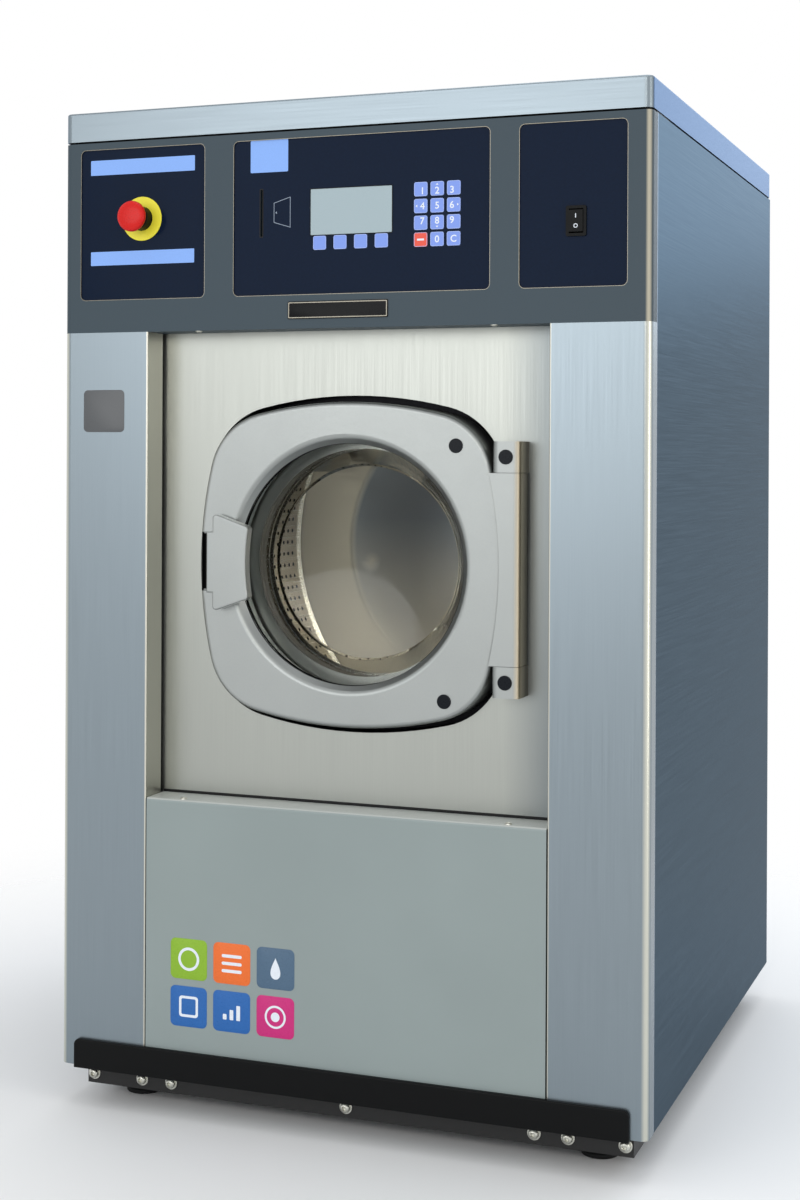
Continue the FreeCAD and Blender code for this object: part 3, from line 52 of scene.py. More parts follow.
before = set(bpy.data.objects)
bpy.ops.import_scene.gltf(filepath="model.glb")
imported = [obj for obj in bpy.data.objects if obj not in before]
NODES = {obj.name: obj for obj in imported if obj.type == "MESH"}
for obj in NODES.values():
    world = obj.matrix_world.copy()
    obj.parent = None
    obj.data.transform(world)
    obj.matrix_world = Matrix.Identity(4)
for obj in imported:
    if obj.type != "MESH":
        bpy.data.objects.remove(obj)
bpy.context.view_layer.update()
FINISHES = {}

# Places in metres: x to the right, y to the rear, z up

QUARTER = math.pi / 2
WINDOWS = ((-0.370, -0.1885), (-0.1485, 0.195), (0.231, 0.365))  # left and right edges
WINDOW_RIM, WINDOW_SETBACK = 0.0006, 0.0002
BARS = ((0.069, 0.152, 0.0195), (-0.050, 0.151, 0.018))  # above the stop button, width, height
TAG = (0.0235, 0.0755, 1.2115, 1.2525)  # from the window's left edge, and heights
BAR_CORNER, TAG_CORNER = 0.001, 0.0015
CARD_OUTER = ((-0.0925, 1.1475), (-0.0695, 1.1405), (-0.0695, 1.1795), (-0.0925, 1.1725))
CARD_INNER = ((-0.0918, 1.1481), (-0.0702, 1.1415), (-0.0702, 1.1785), (-0.0918, 1.1719))
CARD_ARROW = ((-0.0905, 1.1600), (-0.0883, 1.1584), (-0.0883, 1.1616))
CARD_SLOT, SLOT_RISE = (-0.10955, 1.160), 0.0003
SLOT_RIM = ((0.0025, 0.0308, 0.001), (0.0014, 0.02965, 0.0004))  # half width and height, corner
DISPLAY_RIM, DISPLAY_RISE = ((0.0012, -0.0004), (0.0008, 0.0005)), 0.0002  # corner and inset
KEYS = {f"key_{digit}": str(digit) for digit in (1, 2, 3, 4, 5, 6, 7, 8, 9, 0)}
KEYS |= {"key_clear": "C", "key_stop": ""}
KEYS |= {f"soft_key_{i}": "" for i in (1, 2, 3, 4)}
KEY_WAYS = {"key_2": (0, 1), "key_4": (-1, 0), "key_6": (1, 0), "key_8": (0, -1)}
KEY_ARROW = ((0.0066, 0.0), (0.0044, 0.0017), (0.0044, -0.0017))  # outwards, across
KEY_EDGE, KEY_CORNER = (0.0023, 0.0002), 0.0016  # corner and inset, corner inside the rim
KEY_BAR, KEY_BAR_CORNER, ROW_REACH = (0.0045, 0.0012), 0.0004, 0.005
ROCKER_MARK, ROCKER_RING = 0.006, (0.0026, 0.0017)  # off the middle, radii
ROCKER_BAR, ROCKER_BAR_CORNER = (0.0005, 0.0025), 0.0003
# The first is the dark strip behind the ledge, which is painted shade.
LEDGE_SHADE_STRIP, NAME_PLATE = (0.001, 0.0012, 0.0004), (0.0015, 0.0012, 0.0004)  # corner, depth, edge
COLUMN_BADGE, BADGE_PLATE = (-0.364, -0.304, 0.883, 0.938), (0.006, 0.0004, 0.0002)
BADGE_MIDDLE, BADGE_RISE = -0.004, 0.012
PLATE_LINE = (0.001, 0.0008, 0.0015, 0.0011)  # outer and inner corner, front and rear
TILES = ("tile_green", "tile_orange", "tile_slate", "tile_blue", "tile_blue", "tile_magenta")
TILES_MIDDLE = (-0.1455, 0.176)
TILE_RISE, TILE_EDGE = 0.0003, 0.0001
MARK_CIRCLES = ((0.006,), (0.015, 0.0115), (0.0145, 0.0118))  # radii of a disc and two rings
MARK_STEP, MARK_FOOT = 0.0095, 0.0105  # between two bars, from the middle down
MARK_BAR, MARK_DROP = (0.014, 0.002, 0.0018), (0.0095, 0.0135)  # half sizes, the bar's corner
MARK_SQUARE = ((0.0135, 0.004), (0.0102, 0.002))  # half size, corner
RISING_BAR, RISING_HEIGHTS = (0.0026, 0.001), (0.007, 0.013, 0.019)  # half width, corner
LEDGE_SCREW, LIP_SCREW = (0.219, 0.008), (0.199, 0.006)  # off the middle, behind the front
VENT_INSET, REAR_INSET = 0.010, 0.012
REAR_LEVELS = (0.12, 0.34, 0.56, 0.78, 1.0, 1.18)
BOLT_STEPS = (0.0, 0.071, 0.1135)  # from the outermost bolt inwards
# The finger gap's dark lining is painted shade.
GAP_SHADE_SETBACK, GAP_SHADE_FLOOR, CLEARANCE = 0.0008, 0.0048, 0.0001
INLET_INSET, INLET_PITCH = 0.023, 0.09

# Outlines to turn about an axis: radius, place along the axis

SCREW = ((0.0, 0.0008), (0.0013, 0.0008), (0.0015, 0.0018), (0.0022, 0.002), (0.0034, 0.0016),
         (0.0043, 0.0008), (0.0045, 0.0), (0.0, 0.0))
BOLT_WASHER = ((0.0, 0.0), (0.0085, 0.0), (0.0085, 0.0012), (0.0081, 0.0016), (0.0, 0.0016))
BOLT_HEAD = ((0.0, 0.0012), (0.0064, 0.0012), (0.0064, 0.0016), (0.0067, 0.0034),
             (0.0062, 0.0052), (0.0048, 0.0066), (0.003, 0.0071), (0.0026, 0.0066),
             (0.0025, 0.0036), (0.0, 0.0034))
BOLT_RADIUS = 0.0085
FOOT_PAD = ((0.0, 0.0), (0.0222, 0.0), (0.0234, 0.0006), (0.024, 0.002), (0.024, 0.0052),
            (0.0228, 0.0068), (0.0165, 0.0092), (0.0155, 0.01), (0.0, 0.01))
FOOT_NUT = ((0.0, 0.01), (0.0098, 0.01), (0.011, 0.0108), (0.011, 0.0192), (0.0098, 0.02),
            (0.0, 0.02))
FOOT_STEM = ((0.0, 0.02), *((0.0056 + 0.0004 * (i % 2), 0.02 + 0.001 * i) for i in range(17)),
             (0.0, 0.036))
MUSHROOM = ((0.0, 0.0), (0.45, 0.0003), (0.8, 0.0013), (0.94, 0.0028), (1.0, 0.0055),
            (1.0, 0.0085), (0.95, 0.0098), (0.84, 0.0108), (0.8, 0.013))  # radius as a share
STOP_STEM, STOP_BORE, COLLAR_RADIUS, BARREL_RADIUS = 0.006, 0.0063, 0.0157, 0.011
COLLAR_LIP, COLLAR_EDGE = 0.0148, 0.0009
STOP_DISC = ((COLLAR_RADIUS, -0.0015), (0.0279, -0.0015), (0.0285, -0.001), (0.0285, 0.0),
             (COLLAR_RADIUS, 0.0), (COLLAR_RADIUS, -0.0015))  # from the film
STOP_NECK = ((COLLAR_RADIUS, -0.004), (0.0152, -0.0035), (0.0152, -0.0015), (BARREL_RADIUS, 0.0))
STOP_NUT = ((0.0112, 0.006), (0.015, 0.006), (0.015, 0.011), (0.0112, 0.011),
            (0.0112, 0.006))  # from the fascia's front
DRUM_BACK = (*((0.0208 * i, -0.009 - 0.0085 * math.cos(QUARTER * i / 10)) for i in range(11)),
             (0.213, -0.0085), (0.218, -0.0065), (0.296, -0.0065), (0.2995, -0.005),
             (0.0, -0.005))  # from the drum's rear end
INLET_THREAD = ((0.0128, 0.007),
                *((0.0132 + 0.0006 * (i % 2), 0.008 + 0.00095 * i) for i in range(17)),
                (0.0128, 0.0245), (0.0128, 0.007))  # from the rear panel

# Lamps: name, place, target, size, power, colour

LAMPS = (
    ("soft_box", (-0.95, -3.7, 1.6), (0, -0.4, 0.9), (2.5, 2.0), 28, (1, 1, 1)),
    ("front_light", (0.9, -3.1, 1.5), (-0.1, 0, 0.6), (0.6, 0.6), 8, (1, 0.95, 0.88)),
    ("side_light", (1.5, 2.6, 2.2), (0.4, 0, 1.0), (2.6, 2.0), 32, (0.78, 0.88, 1)),
    ("strip_light", (3.0, -1.0, 1.0), (0.39, -0.41, 0.8), (0.5, 1.8), 14, (1, 0.95, 0.88)),
    ("top_light", (0.2, 0.2, 3.4), (0, 0, 0.8), (2.4, 2.4), 25, (1, 1, 1)),
)
CAMERA_PLACE = (0.885, -0.418 - 2.1334, 0.8555)
CAMERA_TURN, CAMERA_ROLL = math.radians(20.672), math.radians(0.261)
CAMERA_LENS, CAMERA_SENSOR, CAMERA_SHIFT = 55.656, 36.0, -0.12125
CAMERA_REACH, FLOOR_HALF, FADE_START = 60.0, 12.0, 0.5


# Sizes and colours

def length(name, text, value):
    """A length that a user may change."""
    return FloatProperty(name=name, description=text, default=value, min=0.0, unit="LENGTH")


def number(name, text, value, least):
    """A whole number that a user may change."""
    return IntProperty(name=name, description=text, default=value, min=least)


def colour(name, text, value):
    """A colour that a user may change."""
    return FloatVectorProperty(name=name, description=text, default=value, size=3, min=0.0,
                               max=1.0, subtype="COLOR")


def linear(red, green, blue):
    """A colour given as the 0 to 255 values of a screen, in the linear values of shaders."""
    return tuple(c / 12.92 if c <= 0.04045 else ((c + 0.055) / 1.055) ** 2.4
                 for c in (red / 255, green / 255, blue / 255))


class WasherSizes(bpy.types.PropertyGroup):
    """Sizes of the small pieces"""
    print_rise: length("Print rise", "How far printed areas stand on their film", 0.00012)
    key_rim: length("Key rim", "Width of the pale line round a key", 0.0007)
    digit_height: length("Digit height", "Height of the digits on the keys", 0.0085)
    digit_shift: length("Digit shift", "How far a digit stands off its key's middle", 0.0022)
    window_corner: length("Window corner", "Corner radius of the control windows", 0.0073)
    badge_width: length("Badge width", "Width of the blank plate under the centre window", 0.135)
    badge_height: length("Badge height", "Height of the blank plate under the centre window", 0.022)
    badge_rim: length("Badge rim", "Width of the thin line on the blank plate", 0.0011)
    # The dark strip behind the ledge is painted shade.
    seal_height: length("Seal height", "Height of the dark seal behind the ledge", 0.0035)
    tile_size: length("Tile size", "Side of a coloured tile on the lower panel", 0.052)
    tile_corner: length("Tile corner", "Corner radius of a coloured tile", 0.007)
    tile_pitch: length("Tile pitch", "Distance between the middles of two tiles", 0.061)
    finger_gap_edge: length("Finger gap edge", "From the door's edge to the finger gap", 0.003)
    finger_gap_width: length("Finger gap width", "Width of the handle's finger gap", 0.0258)
    finger_gap_half: length("Finger gap half height", "Half of the finger gap's height", 0.038)
    # The lining of the finger gap is a dark piece of painted shade.
    finger_gap_depth: length("Finger gap depth", "Depth of the finger gap's lining", 0.0078)
    finger_gap_wall: length("Finger gap wall", "Wall of the finger gap's lining", 0.0005)
    boot_fold_depth: length("Boot fold depth", "Depth of the folds of the rubber boot", 0.006)
    boot_wall: length("Boot wall", "Wall of the door's rubber boot", 0.0026)
    boot_folds: number("Boot folds", "Folds of the door's rubber boot", 3, 1)
    spring_radius: length("Spring radius", "Outer radius of a suspension spring", 0.036)
    spring_wire: length("Spring wire", "Wire of a suspension spring", 0.006)
    spring_turns: FloatProperty(name="Spring turns", description="Turns of a suspension spring",
                                default=11.0, min=2.0)
    foot_radius: length("Foot radius", "Radius of a levelling foot's pad", 0.024)
    hole_radius: length("Hole radius", "Radius of a hole in the drum's wall", 0.0028)
    hole_rings: number("Hole rings", "Rings of holes along the drum", 26, 2)
    holes_round: number("Holes round", "Holes in one ring of the drum", 110, 8)
    floor_fade: length("Floor fade", "Distance at which the floor has faded away", 1.7)


class WasherColours(bpy.types.PropertyGroup):
    """Colours of the main finishes"""
    column: colour("Column steel", "Brushed steel of columns and lid", linear(132, 143, 150))
    # Painted shade: a darker, bluer copy of the column steel, for the side and rear panels.
    side: colour("Side steel", "Brushed steel of the side panels", linear(106, 119, 130))
    front: colour("Front steel", "Steel of the recessed front panel", linear(160, 163, 158))
    casting: colour("Door casting", "Satin cast metal of door and hinge", linear(153, 157, 156))
    lower: colour("Lower panel", "Satin paint of the lower panel", linear(138, 149, 148))
    fascia: colour("Fascia", "Matte moulding round the windows", linear(50, 65, 74))
    film: colour("Window film", "Dark film in the windows", linear(14, 27, 47))
    print_blue: colour("Pale print", "Pale blue bars and tag", linear(132, 172, 238))
    key: colour("Key", "Moulded keys", linear(122, 150, 226))


# Finishes

PATTERN_RANGE = (0.3, 0.7)


def node(tree, kind, inputs, **settings):
    """The outputs of a new node; each input is set to a value or linked to an output."""
    new = tree.nodes.new(kind)
    for name, value in settings.items():
        setattr(new, name, value)
    for key, value in inputs.items():
        if isinstance(value, bpy.types.NodeSocket):
            tree.links.new(value, new.inputs[key])
        else:
            new.inputs[key].default_value = value
    return new.outputs


def place_in(tree):
    """A point's place in the object's own metres."""
    return node(tree, "ShaderNodeTexCoord", {})["Object"]


def noise(tree, scale, detail, stretch=(1, 1, 1)):
    """A noise pattern, stretched along an axis."""
    mapping = node(tree, "ShaderNodeMapping", {"Vector": place_in(tree), "Scale": stretch})
    return node(tree, "ShaderNodeTexNoise", {
        "Vector": mapping["Vector"], "Scale": scale, "Detail": detail})["Fac"]


def surface(name, value, metallic, roughness):
    """A new material with its node tree and the inputs of its shader."""
    material = bpy.data.materials.new(name)
    material.use_nodes = True
    shader = material.node_tree.nodes["Principled BSDF"].inputs
    shader["Base Color"].default_value = (*value, 1.0)
    shader["Metallic"].default_value = metallic
    shader["Roughness"].default_value = roughness
    material.diffuse_color = (*value, 1.0)
    return material, material.node_tree, shader


def vary_roughness(tree, shader, pattern, low, high):
    """Lets the roughness vary with a pattern between two values."""
    spread = node(tree, "ShaderNodeMapRange", {
        "Value": pattern, "From Min": PATTERN_RANGE[0], "From Max": PATTERN_RANGE[1],
        "To Min": low, "To Max": high})
    tree.links.new(spread["Result"], shader["Roughness"])


def textured(name, value, metallic, roughness, patterns, shares, spread, bump):
    """A finish with its first pattern in the colour and its last in roughness and relief."""
    material, tree, shader = surface(name, value, metallic, roughness)
    drawn = [noise(tree, *values) for values in patterns]
    ramp = tree.nodes.new("ShaderNodeValToRGB")
    for stop, place, share in zip(ramp.color_ramp.elements, PATTERN_RANGE, shares):
        stop.position = place
        stop.color = (*(min(1.0, c * share) for c in value), 1.0)
    tree.links.new(drawn[0], ramp.inputs["Fac"])
    tree.links.new(ramp.outputs["Color"], shader["Base Color"])
    vary_roughness(tree, shader, drawn[-1], roughness + spread[0], roughness + spread[1])
    relief = node(tree, "ShaderNodeBump", {
        "Strength": bump[0], "Distance": bump[1], "Height": drawn[-1]})
    tree.links.new(relief["Normal"], shader["Normal"])
    return material, shader


def brushed_steel(name, value, along, roughness=0.34, contrast=0.03, edge=(1, 1, 1)):
    """Steel with fine grain lines along one axis; edge is its tint when seen at a slant."""
    stretch = [1 if axis == along else 110 for axis in "XYZ"]
    material, shader = textured(name, value, 1.0, roughness, [(7.0, 4.0, stretch)],
                                (1 - contrast, 1 + contrast), (-0.05, 0.06), (0.03, 0.0003))
    shader["Specular Tint"].default_value = (*edge, 1.0)
    return material


def satin_metal(name, value, roughness=0.42):
    """Cast or blasted metal with a fine even texture."""
    return textured(name, value, 1.0, roughness, [(9.0, 3.0), (900.0, 2.0)], (0.965, 1.03),
                    (-0.05, 0.06), (0.08, 0.0002))[0]


def satin_paint(name, value, roughness=0.4):
    """Powder coat: a faint orange peel under a soft gloss."""
    return textured(name, value, 0.0, roughness, [(6.0, 2.0), (420.0, 2.0)], (0.97, 1.03),
                    (-0.04, 0.05), (0.1, 0.0003))[0]


def moulded(name, value, roughness=0.5, grain=1600.0, depth=0.12, specular=0.4):
    """Moulded plastic or rubber with a fine matte grain."""
    material, shader = textured(name, value, 0.0, roughness, [(grain, 2.0)], (0.93, 1.07),
                                (-0.06, 0.06), (depth, 0.0002))
    shader["Specular IOR Level"].default_value = specular
    return material


def clear_glass(name):
    """Clear glass with weak reflections and faint smears."""
    material, tree, shader = surface(name, (0.93, 0.97, 0.97), 0.0, 0.02)
    shader["Transmission Weight"].default_value = 1.0
    shader["IOR"].default_value = 1.26
    vary_roughness(tree, shader, noise(tree, 5.0, 3.0), 0.0, 0.05)
    return material


def tone(tree, measure, start, end, value):
    """Lets a finish turn into another colour while a measure goes from start to end."""
    base = tree.nodes["Principled BSDF"].inputs["Base Color"]
    reach = node(tree, "ShaderNodeMapRange", {
        "Value": measure, "From Min": start, "From Max": end})
    mix = node(tree, "ShaderNodeMix", {
        "Factor": reach["Result"], "A": base.links[0].from_socket, "B": (*value, 1.0)},
        data_type="RGBA")
    tree.links.new(mix["Result"], base)


def tone_along(finish, axis, start, end, value, both_sides=False):
    """Changes a finish's colour along an axis, and alike across the middle if asked."""
    tree = FINISHES[finish].node_tree
    measure = node(tree, "ShaderNodeSeparateXYZ", {"Vector": place_in(tree)})[axis]
    if both_sides:
        measure = node(tree, "ShaderNodeMath", {0: measure}, operation="ABSOLUTE")["Value"]
    tone(tree, measure, start, end, value)


def tone_within(finish, centre, start, end, value):
    """Changes a finish's colour with the distance from a line to the rear through the centre."""
    tree = FINISHES[finish].node_tree
    moved = node(tree, "ShaderNodeMapping", {
        "Vector": place_in(tree), "Location": (centre.x, 0, centre.z)}, vector_type="TEXTURE")
    flat = node(tree, "ShaderNodeVectorMath", {0: moved["Vector"], 1: (1, 0, 1)},
                operation="MULTIPLY")
    far = node(tree, "ShaderNodeVectorMath", {0: flat["Vector"]}, operation="LENGTH")
    tone(tree, far["Value"], start, end, value)


def middle_of(name):
    """The middle of a node's box."""
    low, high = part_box(name)
    return (Vector(low) + Vector(high)) / 2


def make_finishes(colours):
    """Fills the table of finishes, then paints light and shade into the colour of some."""
    kinds = {
        brushed_steel: {
            "lid_steel": (colours.column, "X", 0.34, 0.03, (0.55, 0.62, 0.74)),
            "column_steel": (colours.column, "Z"),
            # Painted shade: the side and rear steels take a darker, bluer copy of the column steel.
            "side_steel": (colours.side, "Y", 0.36, 0.08, (0.34, 0.37, 0.4)),
            "rear_steel": (colours.side, "X", 0.38, 0.08),
            "front_steel": (colours.front, "Z", 0.36),
            # Plain steel with a warm tint that is painted reflection.
            "drum_steel": (linear(222, 217, 206), "Y", 0.24),
            # Painted light and shade: the drum's back plate darker and bluer than the drum.
            "drum_back_steel": (linear(152, 160, 169), "X", 0.36, 0.02),
        },
        satin_metal: {
            "door_casting": (colours.casting,),
            # The handle and hinge have their own copies of the casting, which carry painted
            # highlights and shade below.
            "handle_casting": (colours.casting,),
            "hinge_casting": (colours.casting,),
            "zinc": (linear(205, 205, 196), 0.3),
            "iron": (linear(92, 93, 95), 0.6),
            "window_edge": (linear(124, 120, 110), 0.3),
        },
        satin_paint: {
            "lower_paint": (colours.lower,),
            "frame_paint": (linear(7, 7, 8), 0.5),
            "motor_paint": (linear(96, 100, 104), 0.45),
        },
        moulded: {
            "fascia": (colours.fascia, 0.55, 900.0, 0.2),
            "film": (colours.film, 0.16, 300.0, 0.01, 0.04),
            "display": (linear(150, 168, 174), 0.2, 1200.0, 0.01),
            "key_blue": (colours.key, 0.45),
            "key_red": (linear(226, 80, 60), 0.45),
            "stop_red": (linear(206, 30, 26), 0.3, 700.0, 0.03, 0.2),
            "stop_yellow": (linear(238, 226, 58), 0.45),
            "print_white": (linear(226, 232, 240),),
            "print_blue": (colours.print_blue,),
            "print_pale": (linear(176, 194, 240),),
            "print_grey": (linear(140, 152, 168),),
            "black": (linear(9, 10, 11), 0.45, 1600.0, 0.12, 0.12),
            "rubber": (linear(18, 19, 20), 0.62, 1600.0, 0.12, 0.25),
            # Painted reflection: the boot's rubber a lighter, warmer grey than dark rubber.
            "boot_rubber": (linear(96, 90, 80), 0.3, 1200.0, 0.1, 0.3),
            "gloss_black": (linear(12, 13, 15), 0.25, 500.0, 0.02, 0.1),
            "tile_slate": (linear(74, 100, 124), 0.32, 700.0, 0.03),
            "tile_blue": (linear(30, 96, 168), 0.32, 700.0, 0.03),
            "tile_magenta": (linear(196, 34, 116), 0.32, 700.0, 0.03),
            "tile_green": (linear(134, 176, 40), 0.32, 700.0, 0.03),
            "tile_orange": (linear(230, 108, 40), 0.32, 700.0, 0.03),
            "badge_grey": (linear(84, 86, 88), 0.35),
            # Painted shade: near black for the drum's holes and the card slot's opening.
            "hole_dark": (linear(14, 14, 15), 0.7),
            "plug": (linear(14, 18, 24), 0.3, 900.0, 0.03, 0.12),
        },
        clear_glass: {"glass": ()},
    }
    for make, finishes in kinds.items():
        for name, values in finishes.items():
            FINISHES[name] = make(name, *values)
    (bend, front, _), (corner, _, _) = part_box("right_front_column")
    (_, arm, _), (hinge, _, _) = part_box("hinge_arm")
    lid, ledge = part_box("top_cover")[1][0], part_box("lower_front_panel")[1][2]
    side, panel, grip = (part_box(name)[0][1] for name in
                         ("right_side_panel", "front_panel", "door_handle"))
    door = middle_of("door_glass")
    for finish, axis, place, start, end, value, *both_sides in (
            # Painted shade: the lid's side faces darker and bluer than its top and front.
            ("lid_steel", "X", lid, -0.0012, -0.0004, linear(76, 88, 104), True),
            # Painted highlight: a pale stripe on the columns' outer rounded corners, which the next
            # row ends where the corner turns to the side.
            ("column_steel", "X", corner, -0.009, -0.005, linear(196, 197, 187), True),
            ("column_steel", "Y", front, 0.0035, 0.007, colours.column),
            # Painted highlight on the columns' inner bends, and painted reflection on their inner
            # returns, in one pale warm tone.
            ("column_steel", "X", bend, 0.0024, 0.0014, linear(200, 199, 188), True),
            # Painted highlight: a pale line along the side panels' front edges.
            ("side_steel", "Y", side, 0.0016, 0.0008, linear(214, 222, 232)),
            # Painted shade: the front panel darker towards the right column.
            ("front_steel", "X", bend, -0.07, 0.0, linear(112, 119, 122)),
            # Painted shade: the door's pocket in the front panel near black.
            ("front_steel", "Y", panel, 0.002, 0.006, linear(24, 24, 26)),
            # Painted highlight: a pale line on the fascia's right rounded corner, which the next
            # row ends on its side.
            ("fascia", "X", corner, -0.008, -0.005, linear(176, 170, 152)),
            ("fascia", "Y", front, 0.0025, 0.0055, colours.fascia),
            # Painted light: the drum's back plate lighter and warm towards the bottom.
            ("drum_back_steel", "Z", door.z, 0.04, -0.14, linear(248, 239, 223)),
            # Painted highlight: the door handle's sides pale behind its front face; the next row
            # takes the stem back to the plain casting.
            ("handle_casting", "Y", grip, 0.0012, 0.0022, linear(228, 231, 229)),
            ("handle_casting", "Y", grip, 0.0135, 0.0145, colours.casting),
            # Painted highlight on the hinge's right side, then painted shade darkening it towards
            # the rear.
            ("hinge_casting", "X", hinge, -0.007, -0.002, linear(204, 194, 172)),
            ("hinge_casting", "Y", arm, 0.008, 0.03, linear(92, 86, 74)),
            # Painted highlight: the top edge of the lower panel's ledge lighter.
            ("lower_paint", "Z", ledge, -0.0022, -0.0012, linear(186, 190, 186))):
        tone_along(finish, axis, place + start, place + end, value, *both_sides)
    # The painted shade of the pocket gives way to a light steel tone on the lip round the door
    # opening.
    tone_within("front_steel", door, 0.1818, 0.1806, linear(172, 171, 165))
    # Painted light: the outer rim of the drum's back plate lighter and warm.
    tone_within("drum_back_steel", door, 0.204, 0.218, linear(248, 238, 220))


NODE_FINISH = {
    "lid_steel": ("top_cover",),
    "column_steel": ("left_front_column", "right_front_column"),
    "side_steel": ("left_side_panel", "right_side_panel"),
    "rear_steel": ("rear_panel", "rear_cover"),
    "front_steel": ("front_panel",),
    "drum_steel": ("drum", "tub"),
    "door_casting": ("door_frame",),
    "handle_casting": ("door_handle",),
    "hinge_casting": ("hinge_arm", "hinge_brackets"),
    "zinc": ("damper_cylinders", "damper_rods", "suspension_springs", "base_bolts",
             "panel_screws"),
    "iron": ("bearing_housing", "drum_shaft", "motor_pulley"),
    "lower_paint": ("lower_front_panel",),
    "frame_paint": ("base_frame", "control_box"),
    "motor_paint": ("motor",),
    "fascia": ("control_fascia",),
    "film": ("window_overlays",),
    "display": ("display_glass",),
    "key_blue": tuple(name for name in KEYS if name != "key_stop"),
    "key_red": ("key_stop",),
    "stop_red": ("stop_button",),
    "stop_yellow": ("stop_button_collar",),
    "black": ("kick_bar", "switch_bezel", "power_rocker", "door_lock", "rear_fittings",
              "drain_valve"),
    "rubber": ("levelling_feet", "glass_gasket", "drive_belt"),
    "boot_rubber": ("door_bellows",),
    "plug": ("bracket_plugs", "door_plugs"),
    "glass": ("door_glass",),
}


# Mesh pieces

def in_scene(name, data):
    """A new object in the scene."""
    item = bpy.data.objects.new(name, data)
    bpy.context.scene.collection.objects.link(item)
    return item


def piece(name, mesh, body, finishes=(), stands_for=(), reach=None):
    """Puts a mesh in the scene and ties it to a body; a piece given a reach is left loose in place.
    """
    item = in_scene(name, mesh)
    for finish in finishes:
        mesh.materials.append(FINISHES[finish])
    if reach:
        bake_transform(item)
    else:
        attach(item, body)
    if stands_for:
        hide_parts(*stands_for)


def made(name, shapes, body, slot, *finishes, angle=35.0, stands_for=(), reach=None):
    """Makes a piece of some shapes, each given as a function and its values."""
    bm = bmesh.new()
    for shape, *values in shapes:
        shape(bm, *values)
    piece(name, mesh_from(bm, name, angle), body, finishes, stands_for, reach)


def mesh_from(bm, name, angle=35.0):
    """Ends an edit mesh, with its faces outward."""
    bmesh.ops.remove_doubles(bm, verts=bm.verts, dist=1e-6)
    bmesh.ops.recalc_face_normals(bm, faces=bm.faces)
    mesh = bpy.data.meshes.new(name)
    bm.to_mesh(mesh)
    bm.free()
    return smooth(mesh, angle)


def smooth(mesh, angle=35.0):
    """Makes a mesh smooth where it curves and sharp at its edges."""
    mesh.polygons.foreach_set("use_smooth", [True] * len(mesh.polygons))
    mesh.set_sharp_from_angle(angle=math.radians(angle))
    return mesh


def plain_mesh(item):
    """The mesh that an object's curve or modifiers give."""
    return bpy.data.meshes.new_from_object(
        item.evaluated_get(bpy.context.evaluated_depsgraph_get()))


def turn(bm, profile, centre, axis, steps):
    """Turns a line of (radius, along) points about an axis through the centre."""
    rings = []
    for radius, along in profile:
        ring = []
        for i in range(steps if radius > 1e-7 else 1):
            angle = 2 * math.pi * i / steps
            a, b = radius * math.cos(angle), radius * math.sin(angle)
            offset = (a, along, b) if axis == "Y" else (a, b, along)
            ring.append(bm.verts.new(Vector(centre) + Vector(offset)))
        rings.append(ring)
    for first, second in zip(rings, rings[1:]):
        for i in range(steps):
            corners = [first[i % len(first)], first[(i + 1) % len(first)],
                       second[(i + 1) % len(second)], second[i % len(second)]]
            unique = list(dict.fromkeys(corners))
            if len(unique) > 2:
                bm.faces.new(unique)


def around(x, z, half_x, half_z):
    """A box of left, right, lower and upper edges round a middle."""
    return x - half_x, x + half_x, z - half_z, z + half_z


def front_box(name):
    """A node's left, right, lower and upper edges, and its front face."""
    low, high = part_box(name)
    return (low[0], high[0], low[2], high[2]), low[1]


def rounded(box, radius, inset=0.0, steps=6):
    """Corner points of a box with round corners, anticlockwise from its lower right."""
    x0, x1, z0, z1 = box[0] + inset, box[1] - inset, box[2] + inset, box[3] - inset
    points = []
    for cx, cz, start in ((x1 - radius, z0 + radius, -90), (x1 - radius, z1 - radius, 0),
                          (x0 + radius, z1 - radius, 90), (x0 + radius, z0 + radius, 180)):
        for i in range(steps + 1):
            angle = math.radians(start + 90 * i / steps)
            points.append((cx + radius * math.cos(angle), cz + radius * math.sin(angle)))
    return points


def circle(x, z, radius, steps):
    """Points of a circle that faces the front."""
    angles = [2 * math.pi * i / steps for i in range(steps)]
    return [(x + radius * math.cos(a), z + radius * math.sin(a)) for a in angles]


def slab(bm, outline, y0, y1, edge=0.0, index=0):
    """A flat plate that faces the front; edge rounds the rim of its front face."""
    rows = [(0.0, y1)]
    if edge > 0:
        rows += [(0.0, y0 + edge), (edge * 0.3, y0 + edge * 0.3), (edge, y0)]
    else:
        rows.append((0.0, y0))
    cx, cz = (sum(p[i] for p in outline) / len(outline) for i in (0, 1))
    half_x = max(abs(p[0] - cx) for p in outline)
    half_z = max(abs(p[1] - cz) for p in outline)
    loops = []
    for inset, y in rows:
        sx, sz = 1 - inset / half_x, 1 - inset / half_z
        loops.append([bm.verts.new((cx + (x - cx) * sx, y, cz + (z - cz) * sz))
                      for x, z in outline])
    faces = [loops[0], loops[-1][::-1]]
    for first, second in zip(loops, loops[1:]):
        for i in range(len(first)):
            j = (i + 1) % len(first)
            faces.append((first[i], first[j], second[j], second[i]))
    for corners in faces:
        bm.faces.new(corners).material_index = index


def border(bm, outer, inner, y0, y1):
    """A flat frame between two outlines with the same number of points."""
    front, rear = ([[bm.verts.new((x, y, z)) for x, z in loop] for loop in (outer, inner)]
                   for y in (y0, y1))
    for i in range(len(outer)):
        j = (i + 1) % len(outer)
        for a, b in ((front[0], front[1]), (rear[0], rear[1]), (front[0], rear[0]),
                     (front[1], rear[1])):
            bm.faces.new((a[i], a[j], b[j], b[i]))


def plate(bm, box, face, corner, depth, edge):
    """A slab with round corners that stands on a face."""
    slab(bm, rounded(box, corner), face - depth, face, edge)


